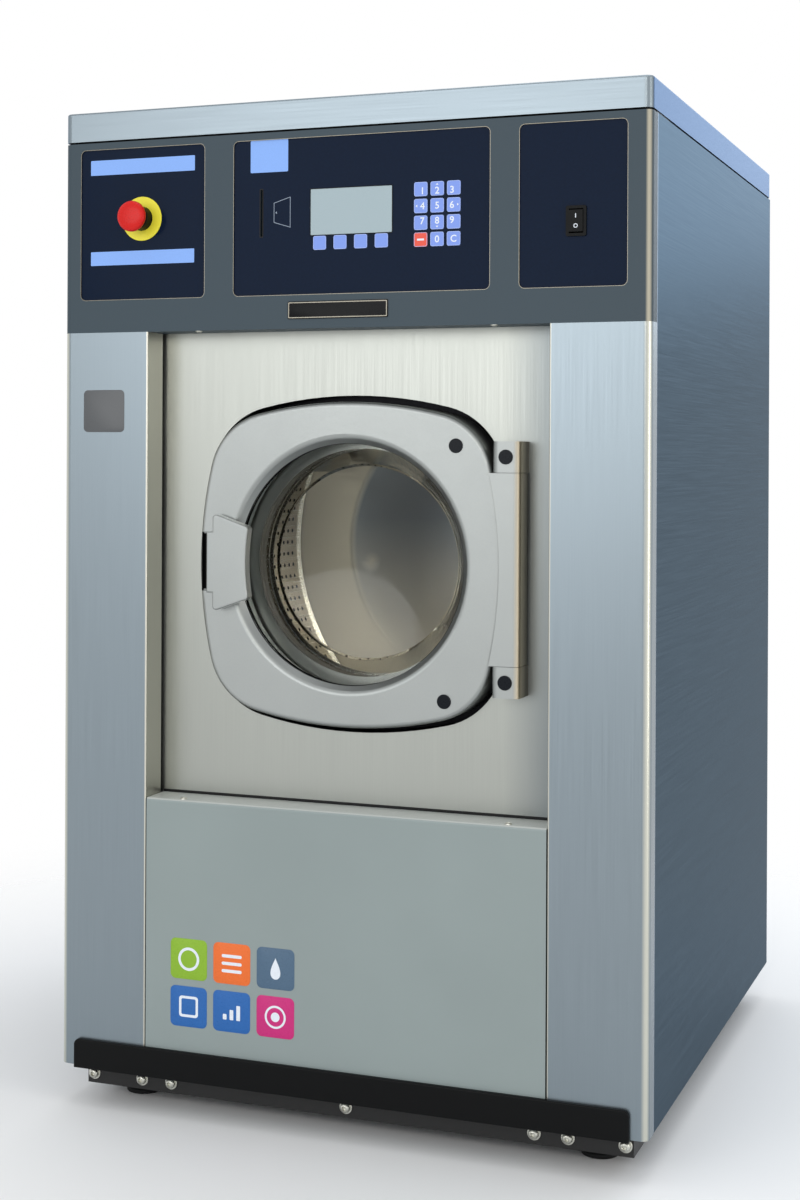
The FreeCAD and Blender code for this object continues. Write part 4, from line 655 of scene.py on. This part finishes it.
def rim(bm, box, outer, inner, y0, y1):
    """A border along a box; outer and inner each give a corner radius and an inset."""
    border(bm, rounded(box, *outer), rounded(box, *inner), y0, y1)


def shifted(outline, place):
    """An outline to turn, moved along its axis."""
    return [(radius, place + along) for radius, along in outline]


def glyph(bm, text, x, z, y0, y1, height, index):
    """Adds a character, drawn flat and facing the front, with its middle at a place."""
    curve = bpy.data.curves.new("glyph", "FONT")
    curve.body = text
    curve.align_x = curve.align_y = "CENTER"
    curve.size = height * 1.4
    curve.resolution_u = 6
    curve.extrude = (y1 - y0) / 2
    curve.offset = height * 0.02
    holder = in_scene("glyph", curve)
    mesh = plain_mesh(holder)
    xs, ys = ([v.co[i] for v in mesh.vertices] for i in (0, 1))
    middle = Vector((min(xs) + max(xs), min(ys) + max(ys), 0)) / 2
    place = Matrix.Translation((x, (y0 + y1) / 2, z)) @ Matrix.Rotation(QUARTER, 4, "X")
    mesh.transform(place @ Matrix.Translation(-middle))
    before = len(bm.faces)
    bm.from_mesh(mesh)
    bm.faces.ensure_lookup_table()
    for face in bm.faces[before:]:
        face.material_index = index
    bpy.data.objects.remove(holder)
    bpy.data.curves.remove(curve)
    bpy.data.meshes.remove(mesh)


# Repeated pieces

def node_tree(name, **inputs):
    """A new node tree with named inputs beside its points, and the outputs of its start."""
    tree = bpy.data.node_groups.new(name + "_tree", "GeometryNodeTree")
    add = tree.interface.new_socket
    add("Geometry", in_out="INPUT", socket_type="NodeSocketGeometry")
    for label, kind in inputs.items():
        add(label, in_out="INPUT", socket_type="NodeSocket" + kind)
    add("Geometry", in_out="OUTPUT", socket_type="NodeSocketGeometry")
    return tree, node(tree, "NodeGroupInput", {})


def through(tree, instances, finish, name, places, **values):
    """Ends a node tree and gives the plain mesh that it makes of some points."""
    solid = node(tree, "GeometryNodeRealizeInstances", {"Geometry": instances})
    painted = node(tree, "GeometryNodeSetMaterial", {
        "Geometry": solid["Geometry"], "Material": FINISHES[finish]})
    node(tree, "NodeGroupOutput", {"Geometry": painted["Geometry"]})
    points = bpy.data.meshes.new(name + "_points")
    points.from_pydata([tuple(p) for p in places], [], [])
    item = in_scene(name + "_points", points)
    modifier = item.modifiers.new(name, "NODES")
    modifier.node_group = tree
    for socket in tree.interface.items_tree:
        if socket.in_out == "INPUT" and socket.name in values:
            modifier[socket.identifier] = values[socket.name]
    bpy.context.view_layer.update()
    mesh = plain_mesh(item)
    mesh.name = name
    item.modifiers.clear()
    bpy.data.objects.remove(item)
    return smooth(mesh)


def scattered(name, places, outlines, tilt, finish, stands_for=()):
    """A piece of the cabinet: one turned shape at many places, tilted about the x axis."""
    bm = bmesh.new()
    for outline, steps in outlines:
        turn(bm, outline, (0, 0, 0), "Z", steps)
    shape = in_scene(name + "_shape", mesh_from(bm, name + "_shape"))
    tree, given = node_tree(name, Shape="Object", Turn="Vector")
    source = node(tree, "GeometryNodeObjectInfo", {"Object": given["Shape"]})
    rotation = node(tree, "FunctionNodeEulerToRotation", {"Euler": given["Turn"]})
    copies = node(tree, "GeometryNodeInstanceOnPoints", {
        "Points": given["Geometry"], "Instance": source["Geometry"],
        "Rotation": rotation["Rotation"]})
    mesh = through(tree, copies["Instances"], finish, name, places, Shape=shape,
                   Turn=(tilt, 0, 0))
    bpy.data.objects.remove(shape)
    piece(name, mesh, "cabinet", stands_for=stands_for)


def corners_of(low, high, inset, level):
    """Four places at the corners of a box, inside it by an inset."""
    return [(x, y, level) for x in (low[0] + inset, high[0] - inset)
            for y in (low[1] + inset, high[1] - inset)]


# Operators

class WASHER_OT_finishes(bpy.types.Operator):
    """Makes every finish and puts it on the machine's own pieces"""
    bl_idname = "washer.finishes"
    bl_label = "Finishes"

    def execute(self, context):
        make_finishes(context.scene.washer_colours)
        for finish, names in NODE_FINISH.items():
            for name in names:
                materials = NODES[name].data.materials
                materials.clear()
                materials.append(FINISHES[finish])
        NODES["door_glass"].visible_shadow = False
        return {"FINISHED"}


class WASHER_OT_fasteners(bpy.types.Operator):
    """Sets the screws and the base bolts"""
    bl_idname = "washer.fasteners"
    bl_label = "Fasteners"

    def execute(self, context):
        panel, cover, rear = (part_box(name) for name in
                              ("lower_front_panel", "rear_cover", "rear_panel"))
        front, ledge, lip = panel[0][1], panel[1][2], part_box("control_fascia")[0][2]
        middle = middle_of("rear_cover").z
        side, rise = cover[1][0] - VENT_INSET, cover[1][2] - middle - VENT_INSET
        ledge_spots, lip_spots = ([(x * way, front + y, z) for way in (-1, 1)]
                                  for (x, y), z in ((LEDGE_SCREW, ledge), (LIP_SCREW, lip)))
        vent_spots = [(side * way, cover[1][1], middle + rise * level)
                      for way in (-1, 1) for level in (-1, 0, 1)]
        rear_spots = [(x, rear[1][1], z)
                      for x in (rear[0][0] + REAR_INSET, rear[1][0] - REAR_INSET)
                      for z in REAR_LEVELS]
        for name, places, tilt, stands_for in (
                ("ledge_screws", ledge_spots, 0, ("panel_screws",)),
                ("lip_screws", lip_spots, math.pi, ()),
                ("vent_screws", vent_spots, -QUARTER, ()),
                ("rear_screws", rear_spots, -QUARTER, ())):
            scattered(name, places, [(SCREW, 20)], tilt, "zinc", stands_for)
        y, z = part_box("base_frame")[0][1], middle_of("base_bolts").z
        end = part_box("base_bolts")[1][0] - BOLT_RADIUS
        spots = [0.0] + [(end - step) * way for step in BOLT_STEPS for way in (-1, 1)]
        scattered("frame_bolts", [(x, y, z) for x in spots], [(BOLT_WASHER, 36), (BOLT_HEAD, 36)],
                  QUARTER, "zinc", ("base_bolts",))
        return {"FINISHED"}


class WASHER_OT_control_print(bpy.types.Operator):
    """Prints the window films and sets the rims of windows, display and card slot"""
    bl_idname = "washer.control_print"
    bl_label = "Control print"

    def execute(self, context):
        sizes = context.scene.washer_sizes
        windows, film = front_box("window_overlays")
        printed, stop = film - sizes.print_rise, middle_of("stop_button_collar")
        pale = [rounded(around(stop.x, stop.z + rise, width / 2, height / 2), BAR_CORNER)
                for rise, width, height in BARS]
        left = WINDOWS[1][0]
        pale.append(rounded((left + TAG[0], left + TAG[1], *TAG[2:]), TAG_CORNER))
        made("pale_print", [(slab, area, printed, film) for area in pale], "cabinet",
             "window_film", "print_blue")
        made("card_mark", [(border, CARD_OUTER, CARD_INNER, printed, film),
                           (slab, CARD_ARROW, printed, film)],
             "cabinet", "window_film", "print_grey")
        # The card slot's dark ring is painted shade for its opening.
        slot = [rounded(around(*CARD_SLOT, *half), corner) for *half, corner in SLOT_RIM]
        made("card_slot_rim", [(border, *slot, film - SLOT_RISE, film)], "cabinet",
             "black_plastic", "hole_dark")
        display, face = front_box("display_glass")
        made("display_rim", [(rim, display, *DISPLAY_RIM, face - DISPLAY_RISE, face)], "cabinet",
             "black_plastic", "black")
        corner, face = sizes.window_corner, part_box("control_fascia")[0][1] + WINDOW_SETBACK
        edge = (corner, 0.0), (corner - WINDOW_RIM, WINDOW_RIM), face, film
        made("window_edges", [(rim, (x0 + CLEARANCE, x1 - CLEARANCE, *windows[2:]), *edge)
                              for x0, x1 in WINDOWS],
             "cabinet", "zinc_steel", "window_edge")
        return {"FINISHED"}


class WASHER_OT_key_print(bpy.types.Operator):
    """Prints the rim of every key, its digit and the direction marks of four keys"""
    bl_idname = "washer.key_print"
    bl_label = "Key print"

    def execute(self, context):
        sizes = context.scene.washer_sizes
        five = middle_of("key_5")
        for name, text in KEYS.items():
            key, face = front_box(name)
            printed, middle = face - sizes.print_rise, middle_of(name)
            shapes = [(rim, key, KEY_EDGE, (KEY_CORNER, sizes.key_rim), printed, face)]
            x, z = middle.x, middle.z
            if text.isdigit() and text != "0":
                x -= sizes.digit_shift * self.side(x - five.x)
                z -= sizes.digit_shift * self.side(z - five.z)
            if text:
                shapes.append((glyph, text, x, z, printed, face, sizes.digit_height, 1))
            elif name == "key_stop":
                bar = rounded(around(x, z, *KEY_BAR), KEY_BAR_CORNER)
                shapes.append((slab, bar, printed, face, 0.0, 1))
            if name in KEY_WAYS:
                arrow = self.arrow(middle, *KEY_WAYS[name])
                shapes.append((slab, arrow, printed, face, 0.0, 1))
            made(name + "_print", shapes, name + "_body", "key_blue", "print_pale", "print_white")
        return {"FINISHED"}

    def side(self, offset):
        """Tells whether a key stands before, in or behind the keypad's middle row."""
        return (offset > ROW_REACH) - (offset < -ROW_REACH)

    def arrow(self, middle, way_x, way_z):
        """A small triangle near the rim that points away from the keypad's middle."""
        return [(middle.x + out * way_x - across * way_z, middle.z + out * way_z + across * way_x)
                for out, across in KEY_ARROW]


class WASHER_OT_stop_button(bpy.types.Operator):
    """Turns the stop button's mushroom, collar and yellow disc"""
    bl_idname = "washer.stop_button"
    bl_label = "Stop button"

    def execute(self, context):
        low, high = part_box("stop_button")
        front, rear, radius = low[1], high[1], (high[0] - low[0]) / 2
        centre = (middle_of("stop_button").x, 0, middle_of("stop_button").z)
        cap = [(radius * share, front + depth) for share, depth in MUSHROOM]
        stem = [(STOP_STEM, cap[-1][1]), (STOP_STEM, rear), (0.0, rear)]
        made("stop_mushroom", [(turn, cap + stem, centre, "Y", 72)], "stop", "stop_red",
             "stop_red", angle=50, stands_for=("stop_button",))
        film, fascia = (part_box(name)[0][1] for name in ("window_overlays", "control_fascia"))
        made("stop_disc", [(turn, shifted(STOP_DISC, film), centre, "Y", 72)], "cabinet",
             "stop_yellow", "stop_yellow", stands_for=("stop_button_collar",))
        low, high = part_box("stop_button_collar")
        front, rear = low[1], high[1]
        collar = [(STOP_BORE, front), (COLLAR_LIP, front), (COLLAR_RADIUS, front + COLLAR_EDGE),
                  *shifted(STOP_NECK, film), (BARREL_RADIUS, rear), (STOP_BORE, rear),
                  (STOP_BORE, front)]
        nut = shifted(STOP_NUT, fascia)
        made("stop_collar", [(turn, collar, centre, "Y", 48), (turn, nut, centre, "Y", 6)],
             "cabinet", "black_plastic", "black")
        return {"FINISHED"}


class WASHER_OT_rocker_print(bpy.types.Operator):
    """Prints the two marks of the power rocker"""
    bl_idname = "washer.rocker_print"
    bl_label = "Rocker print"

    def execute(self, context):
        middle, face = middle_of("power_rocker"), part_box("power_rocker")[0][1]
        printed = face - context.scene.washer_sizes.print_rise
        bar = rounded(around(middle.x, middle.z + ROCKER_MARK, *ROCKER_BAR), ROCKER_BAR_CORNER)
        ring = [circle(middle.x, middle.z - ROCKER_MARK, radius, 24) for radius in ROCKER_RING]
        made("rocker_print", [(slab, bar, printed, face), (border, *ring, printed, face)],
             "rocker", "black_plastic", "print_white")
        return {"FINISHED"}


class WASHER_OT_seams(bpy.types.Operator):
    """Sets dark strips of painted shade behind the ledge and in the handle's finger gap"""
    bl_idname = "washer.seams"
    bl_label = "Shade_strips"

    def execute(self, context):
        sizes = context.scene.washer_sizes
        (left, right, _, ledge), _ = front_box("lower_front_panel")
        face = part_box("front_panel")[0][1]
        # Painted shade: a near-black strip along the back of the ledge, in the rubber finish.
        shade_strip = (left, right, ledge, ledge + sizes.seal_height)
        made("ledge_seal", [(plate, shade_strip, face, *LEDGE_SHADE_STRIP)], "cabinet", "black_rubber", "rubber")
        (left, *_), face = front_box("door_frame")
        height, wall = middle_of("door_glass").z, sizes.finger_gap_wall
        half = sizes.finger_gap_half - CLEARANCE
        x0 = left + sizes.finger_gap_edge + CLEARANCE
        gap = (x0, x0 + sizes.finger_gap_width, height - half, height + half)
        floor = (x0 + wall, x0 + GAP_SHADE_FLOOR, gap[2] + wall, gap[3] - wall)
        rear = face + sizes.finger_gap_depth
        # Painted shade: a black lining on the walls and floor of the handle's finger gap.
        made("finger_gap_lining", [
            (rim, gap, (CLEARANCE, 0.0), (CLEARANCE, wall), face + GAP_SHADE_SETBACK, rear),
            (plate, floor, rear, CLEARANCE, wall, 0.0)],
            "door", "black_plastic", "black")
        return {"FINISHED"}


class WASHER_OT_badges(bpy.types.Operator):
    """Sets the blank plates under the windows and on the column"""
    bl_idname = "washer.badges"
    bl_label = "Blank plates"

    def execute(self, context):
        sizes = context.scene.washer_sizes
        (_, _, lower, _), face = front_box("control_fascia")
        half, bottom, line = sizes.badge_width / 2, lower + BADGE_RISE, sizes.badge_rim
        box = (BADGE_MIDDLE - half, BADGE_MIDDLE + half, bottom, bottom + sizes.badge_height)
        made("name_plate", [(plate, box, face, *NAME_PLATE)], "cabinet", "black_plastic",
             "gloss_black")
        outer, inner, front, rear = PLATE_LINE
        made("name_plate_rim", [(rim, box, (outer, line), (inner, 2 * line), face - front,
                                 face - rear)],
             "cabinet", "zinc_steel", "window_edge")
        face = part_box("left_front_column")[0][1]
        made("column_badge", [(plate, COLUMN_BADGE, face, *BADGE_PLATE)], "cabinet",
             "black_plastic", "badge_grey")
        return {"FINISHED"}


class WASHER_OT_tiles(bpy.types.Operator):
    """Sets the coloured tiles on the lower panel, each with a simple white mark"""
    bl_idname = "washer.tiles"
    bl_label = "Tiles"

    def execute(self, context):
        sizes = context.scene.washer_sizes
        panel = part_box("lower_front_panel")[0][1]
        face, half = panel - TILE_RISE, sizes.tile_size / 2
        for i, finish in enumerate(TILES):
            x = TILES_MIDDLE[0] + (i % 3 - 1) * sizes.tile_pitch
            z = TILES_MIDDLE[1] + (0.5 - i // 3) * sizes.tile_pitch
            tile = (plate, around(x, z, half, half), panel, sizes.tile_corner, TILE_RISE, TILE_EDGE)
            made(f"tile_{i + 1}", [tile], "cabinet", "window_film", finish)
            mark = [(slab if len(area) == 1 else border, *area, face - sizes.print_rise, face)
                    for area in self.marks(x, z)[i]]
            made(f"tile_mark_{i + 1}", mark, "cabinet", "window_film", "print_white")
        return {"FINISHED"}

    def marks(self, x, z):
        """A ring, bars, a drop, a square frame, rising bars and a ringed disc, as outlines."""
        disc, *rings = ([circle(x, z, radius, 40) for radius in radii] for radii in MARK_CIRCLES)
        steps = (-MARK_STEP, 0.0, MARK_STEP)
        *halves, corner = MARK_BAR
        bars = [[rounded(around(x, z + step, *halves), corner)] for step in steps]
        wide, high = MARK_DROP
        drop = [(x + wide * math.sin(a) * math.sin(a / 2) ** 1.4, z + high * math.cos(a))
                for a in (2 * math.pi * n / 40 for n in range(40))]
        square = [rounded(around(x, z, half, half), corner) for half, corner in MARK_SQUARE]
        half, corner = RISING_BAR
        rising = [[rounded((x + step - half, x + step + half, z - MARK_FOOT,
                            z - MARK_FOOT + height), corner)]
                  for step, height in zip(steps, RISING_HEIGHTS)]
        return [rings[0]], bars, [[drop]], [square], rising, [disc, rings[1]]


class WASHER_OT_drum_holes(bpy.types.Operator):
    """Sets rings of dark discs for the drum's holes, near black as painted shade"""
    bl_idname = "washer.drum_holes"
    bl_label = "Drum holes"

    def execute(self, context):
        sizes = context.scene.washer_sizes
        low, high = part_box("drum")
        middle, sunk, margin = middle_of("drum").z, 0.0019, 0.03
        tree, given = node_tree("drum_holes", Rings="Int", Round="Int", Hole="Float")
        line = node(tree, "GeometryNodeMeshLine", {
            "Count": given["Rings"], "Start Location": (0, low[1] + margin, middle),
            "Offset": (0, high[1] - margin, middle)}, mode="END_POINTS")
        ring = node(tree, "GeometryNodeMeshCircle", {
            "Vertices": given["Round"], "Radius": (high[0] - low[0]) / 2 - sunk})
        upright = node(tree, "GeometryNodeTransform", {
            "Geometry": ring["Mesh"], "Rotation": (QUARTER, 0, 0)})
        rings = node(tree, "GeometryNodeInstanceOnPoints", {
            "Points": line["Mesh"], "Instance": upright["Geometry"]})
        spots = node(tree, "GeometryNodeRealizeInstances", {"Geometry": rings["Instances"]})
        hole = node(tree, "GeometryNodeMeshCylinder", {
            "Vertices": 8, "Radius": given["Hole"], "Depth": 0.0008})
        where = node(tree, "GeometryNodeInputPosition", {})
        inward = node(tree, "ShaderNodeVectorMath", {
            0: where["Position"], 1: (-1, 0, -1), 2: (0, 0, middle)}, operation="MULTIPLY_ADD")
        aligned = node(tree, "FunctionNodeAlignRotationToVector", {"Vector": inward["Vector"]},
                       axis="Z")
        holes = node(tree, "GeometryNodeInstanceOnPoints", {
            "Points": spots["Geometry"], "Instance": hole["Mesh"],
            "Rotation": aligned["Rotation"]})
        mesh = through(tree, holes["Instances"], "hole_dark", "drum_holes", [],
                       Rings=sizes.hole_rings, Round=sizes.holes_round, Hole=sizes.hole_radius)
        piece("drum_holes", mesh, "drum")
        return {"FINISHED"}


class WASHER_OT_drum_back(bpy.types.Operator):
    """Sets the dished plate at the drum's back"""
    bl_idname = "washer.drum_back"
    bl_label = "Drum back"

    def execute(self, context):
        outline = shifted(DRUM_BACK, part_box("drum")[1][1])
        made("drum_back", [(turn, outline, (0, 0, middle_of("drum").z), "Y", 120)], "drum",
             "drum_steel", "drum_back_steel", angle=50)
        return {"FINISHED"}


class WASHER_OT_door_boot(bpy.types.Operator):
    """Turns the folded rubber boot between the front panel and the tub"""
    bl_idname = "washer.door_boot"
    bl_label = "Door boot"

    def execute(self, context):
        sizes = context.scene.washer_sizes
        low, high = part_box("door_bellows")
        level = middle_of("door_bellows").z
        radius, depth = (high[0] - low[0]) / 2, high[1] - low[1]
        steps = 16 * sizes.boot_folds
        outside = []
        for i in range(steps + 1):
            share = i / steps
            fold = (1 - math.cos(2 * math.pi * sizes.boot_folds * share)) / 2
            outside.append((radius - sizes.boot_fold_depth * fold, low[1] + depth * share))
        inside = [(r - sizes.boot_wall, y) for r, y in reversed(outside)]
        made("door_boot", [(turn, outside + inside + outside[:1], (0, 0, level), "Y", 120)],
             ("cabinet", "tub"), "black_rubber", "boot_rubber", angle=60,
             stands_for=("door_bellows",), reach=((0, low[1], level), (0, high[1], level)))
        return {"FINISHED"}


class WASHER_OT_coil_springs(bpy.types.Operator):
    """Winds the four coil springs of the suspension"""
    bl_idname = "washer.coil_springs"
    bl_label = "Coil springs"

    def execute(self, context):
        sizes = context.scene.washer_sizes
        low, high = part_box("suspension_springs")
        wire, outer = sizes.spring_wire / 2, sizes.spring_radius
        tree, given = node_tree("coil_springs", Turns="Float", Radius="Float", Wire="Float",
                                Rise="Float")
        coil = node(tree, "GeometryNodeCurveSpiral", {
            "Resolution": 28, "Rotations": given["Turns"], "Start Radius": given["Radius"],
            "End Radius": given["Radius"], "Height": given["Rise"]})
        section = node(tree, "GeometryNodeCurvePrimitiveCircle", {
            "Resolution": 10, "Radius": given["Wire"]})
        swept = node(tree, "GeometryNodeCurveToMesh", {
            "Curve": coil["Curve"], "Profile Curve": section["Curve"], "Fill Caps": True})
        copies = node(tree, "GeometryNodeInstanceOnPoints", {
            "Points": given["Geometry"], "Instance": swept["Mesh"]})
        mesh = through(tree, copies["Instances"], "zinc", "coil_springs",
                       corners_of(low, high, outer, low[2] + wire), Turns=sizes.spring_turns,
                       Radius=outer - wire, Wire=wire, Rise=high[2] - low[2] - 2 * wire)
        piece("coil_springs", mesh, ("cabinet", "tub"),
              stands_for=("suspension_springs",), reach=((0, 0, low[2]), (0, 0, high[2])))
        return {"FINISHED"}


class WASHER_OT_feet(bpy.types.Operator):
    """Sets the rubber pads and the nuts of the levelling feet"""
    bl_idname = "washer.feet"
    bl_label = "Levelling feet"

    def execute(self, context):
        low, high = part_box("levelling_feet")
        places = corners_of(low, high, context.scene.washer_sizes.foot_radius, low[2])
        scattered("foot_pads", places, [(FOOT_PAD, 48)], 0, "rubber",
                  ("levelling_feet",))
        scattered("foot_nuts", places, [(FOOT_NUT, 6), (FOOT_STEM, 24)], 0, "zinc")
        return {"FINISHED"}


class WASHER_OT_inlet_threads(bpy.types.Operator):
    """Cuts the hose threads on the two water inlets"""
    bl_idname = "washer.inlet_threads"
    bl_label = "Inlet threads"

    def execute(self, context):
        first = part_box("rear_fittings")[0][0] + INLET_INSET
        level = middle_of("rear_fittings").z
        thread = shifted(INLET_THREAD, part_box("rear_panel")[1][1])
        made("inlet_threads", [(turn, thread, (x, 0, level), "Y", 40)
                               for x in (first, first + INLET_PITCH)],
             "cabinet", "black_plastic", "black")
        return {"FINISHED"}


class WASHER_OT_stage(bpy.types.Operator):
    """Sets the floor, the light and the camera"""
    bl_idname = "washer.stage"
    bl_label = "Stage"

    def execute(self, context):
        scene = bpy.context.scene
        scene.view_settings.view_transform = "Standard"
        bm = bmesh.new()
        bmesh.ops.create_grid(bm, x_segments=1, y_segments=1, size=FLOOR_HALF)
        floor = in_scene("studio_floor", mesh_from(bm, "studio_floor"))
        floor.data.materials.append(self.floor_finish(context.scene.washer_sizes.floor_fade))
        self.world(scene)
        for lamp in LAMPS:
            self.lamp(*lamp)
        camera = bpy.data.cameras.new("camera")
        camera.lens, camera.sensor_width = CAMERA_LENS, CAMERA_SENSOR
        camera.shift_y = CAMERA_SHIFT
        camera.clip_end = CAMERA_REACH
        scene.camera = in_scene("camera", camera)
        scene.camera.matrix_world = (Matrix.Translation(CAMERA_PLACE)
                                     @ Matrix.Rotation(CAMERA_TURN, 4, "Z")
                                     @ Matrix.Rotation(QUARTER, 4, "X")
                                     @ Matrix.Rotation(CAMERA_ROLL, 4, "Z"))
        return {"FINISHED"}

    def floor_finish(self, fade_end):
        """Pale matte floor that fades into the white background away from the machine."""
        material, tree, shader = surface("studio_floor", (0.86, 0.86, 0.86), 0.0, 0.7)
        reach = node(tree, "ShaderNodeVectorMath", {0: place_in(tree)}, operation="LENGTH")
        fade = node(tree, "ShaderNodeMapRange", {
            "Value": reach["Value"], "From Min": FADE_START, "From Max": fade_end, "To Min": 1.0,
            "To Max": 0.0}, interpolation_type="SMOOTHSTEP")
        tree.links.new(fade["Result"], shader["Alpha"])
        return material

    def world(self, scene):
        """White where it is seen or mirrored; as light, dimmer and a little cool."""
        scene.world = bpy.data.worlds.new("studio")
        scene.world.use_nodes = True
        tree = scene.world.node_tree
        tree.nodes.clear()
        seen = node(tree, "ShaderNodeBackground", {"Color": (1, 1, 1, 1)})
        light = node(tree, "ShaderNodeBackground", {"Color": (0.94, 0.97, 1, 1), "Strength": 0.8})
        rays = node(tree, "ShaderNodeLightPath", {})
        either = node(tree, "ShaderNodeMath", {
            0: rays["Is Camera Ray"], 1: rays["Is Glossy Ray"]}, operation="MAXIMUM")
        plain = node(tree, "ShaderNodeMath", {
            0: either["Value"], 1: rays["Is Transmission Ray"]}, operation="MAXIMUM")
        mix = node(tree, "ShaderNodeMixShader", {
            "Fac": plain["Value"], 1: light["Background"], 2: seen["Background"]})
        node(tree, "ShaderNodeOutputWorld", {"Surface": mix["Shader"]})

    def lamp(self, name, place, target, size, power, value):
        """A soft area lamp that faces its target."""
        light = bpy.data.lights.new(name, "AREA")
        light.shape = "ELLIPSE"
        light.size, light.size_y = size
        light.energy = power
        light.color = value
        item = in_scene(name, light)
        item.location = place
        aim = Vector(target) - Vector(place)
        item.rotation_euler = aim.to_track_quat("-Z", "Y").to_euler()


OPERATORS = (WASHER_OT_finishes, WASHER_OT_fasteners, WASHER_OT_control_print,
             WASHER_OT_key_print, WASHER_OT_stop_button, WASHER_OT_rocker_print,
             WASHER_OT_seams, WASHER_OT_badges, WASHER_OT_tiles, WASHER_OT_drum_holes,
             WASHER_OT_drum_back, WASHER_OT_door_boot, WASHER_OT_coil_springs, WASHER_OT_feet,
             WASHER_OT_inlet_threads, WASHER_OT_stage)


class WASHER_PT_panel(bpy.types.Panel):
    """Lists the operators, the sizes and the colours"""
    bl_idname = "WASHER_PT_panel"
    bl_label = "Washer-extractor"
    bl_space_type = "VIEW_3D"
    bl_region_type = "UI"
    bl_category = "Washer"

    def draw(self, context):
        for operator in OPERATORS:
            self.layout.operator(operator.bl_idname)
        for group in (context.scene.washer_sizes, context.scene.washer_colours):
            for name in group.__annotations__:
                self.layout.prop(group, name)


CLASSES = (WasherSizes, WasherColours, *OPERATORS, WASHER_PT_panel)


def register():
    for item in CLASSES:
        bpy.utils.register_class(item)
    bpy.types.Scene.washer_sizes = PointerProperty(type=WasherSizes)
    bpy.types.Scene.washer_colours = PointerProperty(type=WasherColours)


def unregister():
    del bpy.types.Scene.washer_colours
    del bpy.types.Scene.washer_sizes
    for item in reversed(CLASSES):
        bpy.utils.unregister_class(item)


def main():
    register()
    for operator in OPERATORS:
        group, name = operator.bl_idname.split(".")
        getattr(getattr(bpy.ops, group), name)()


if __name__ == "__main__":
    main()
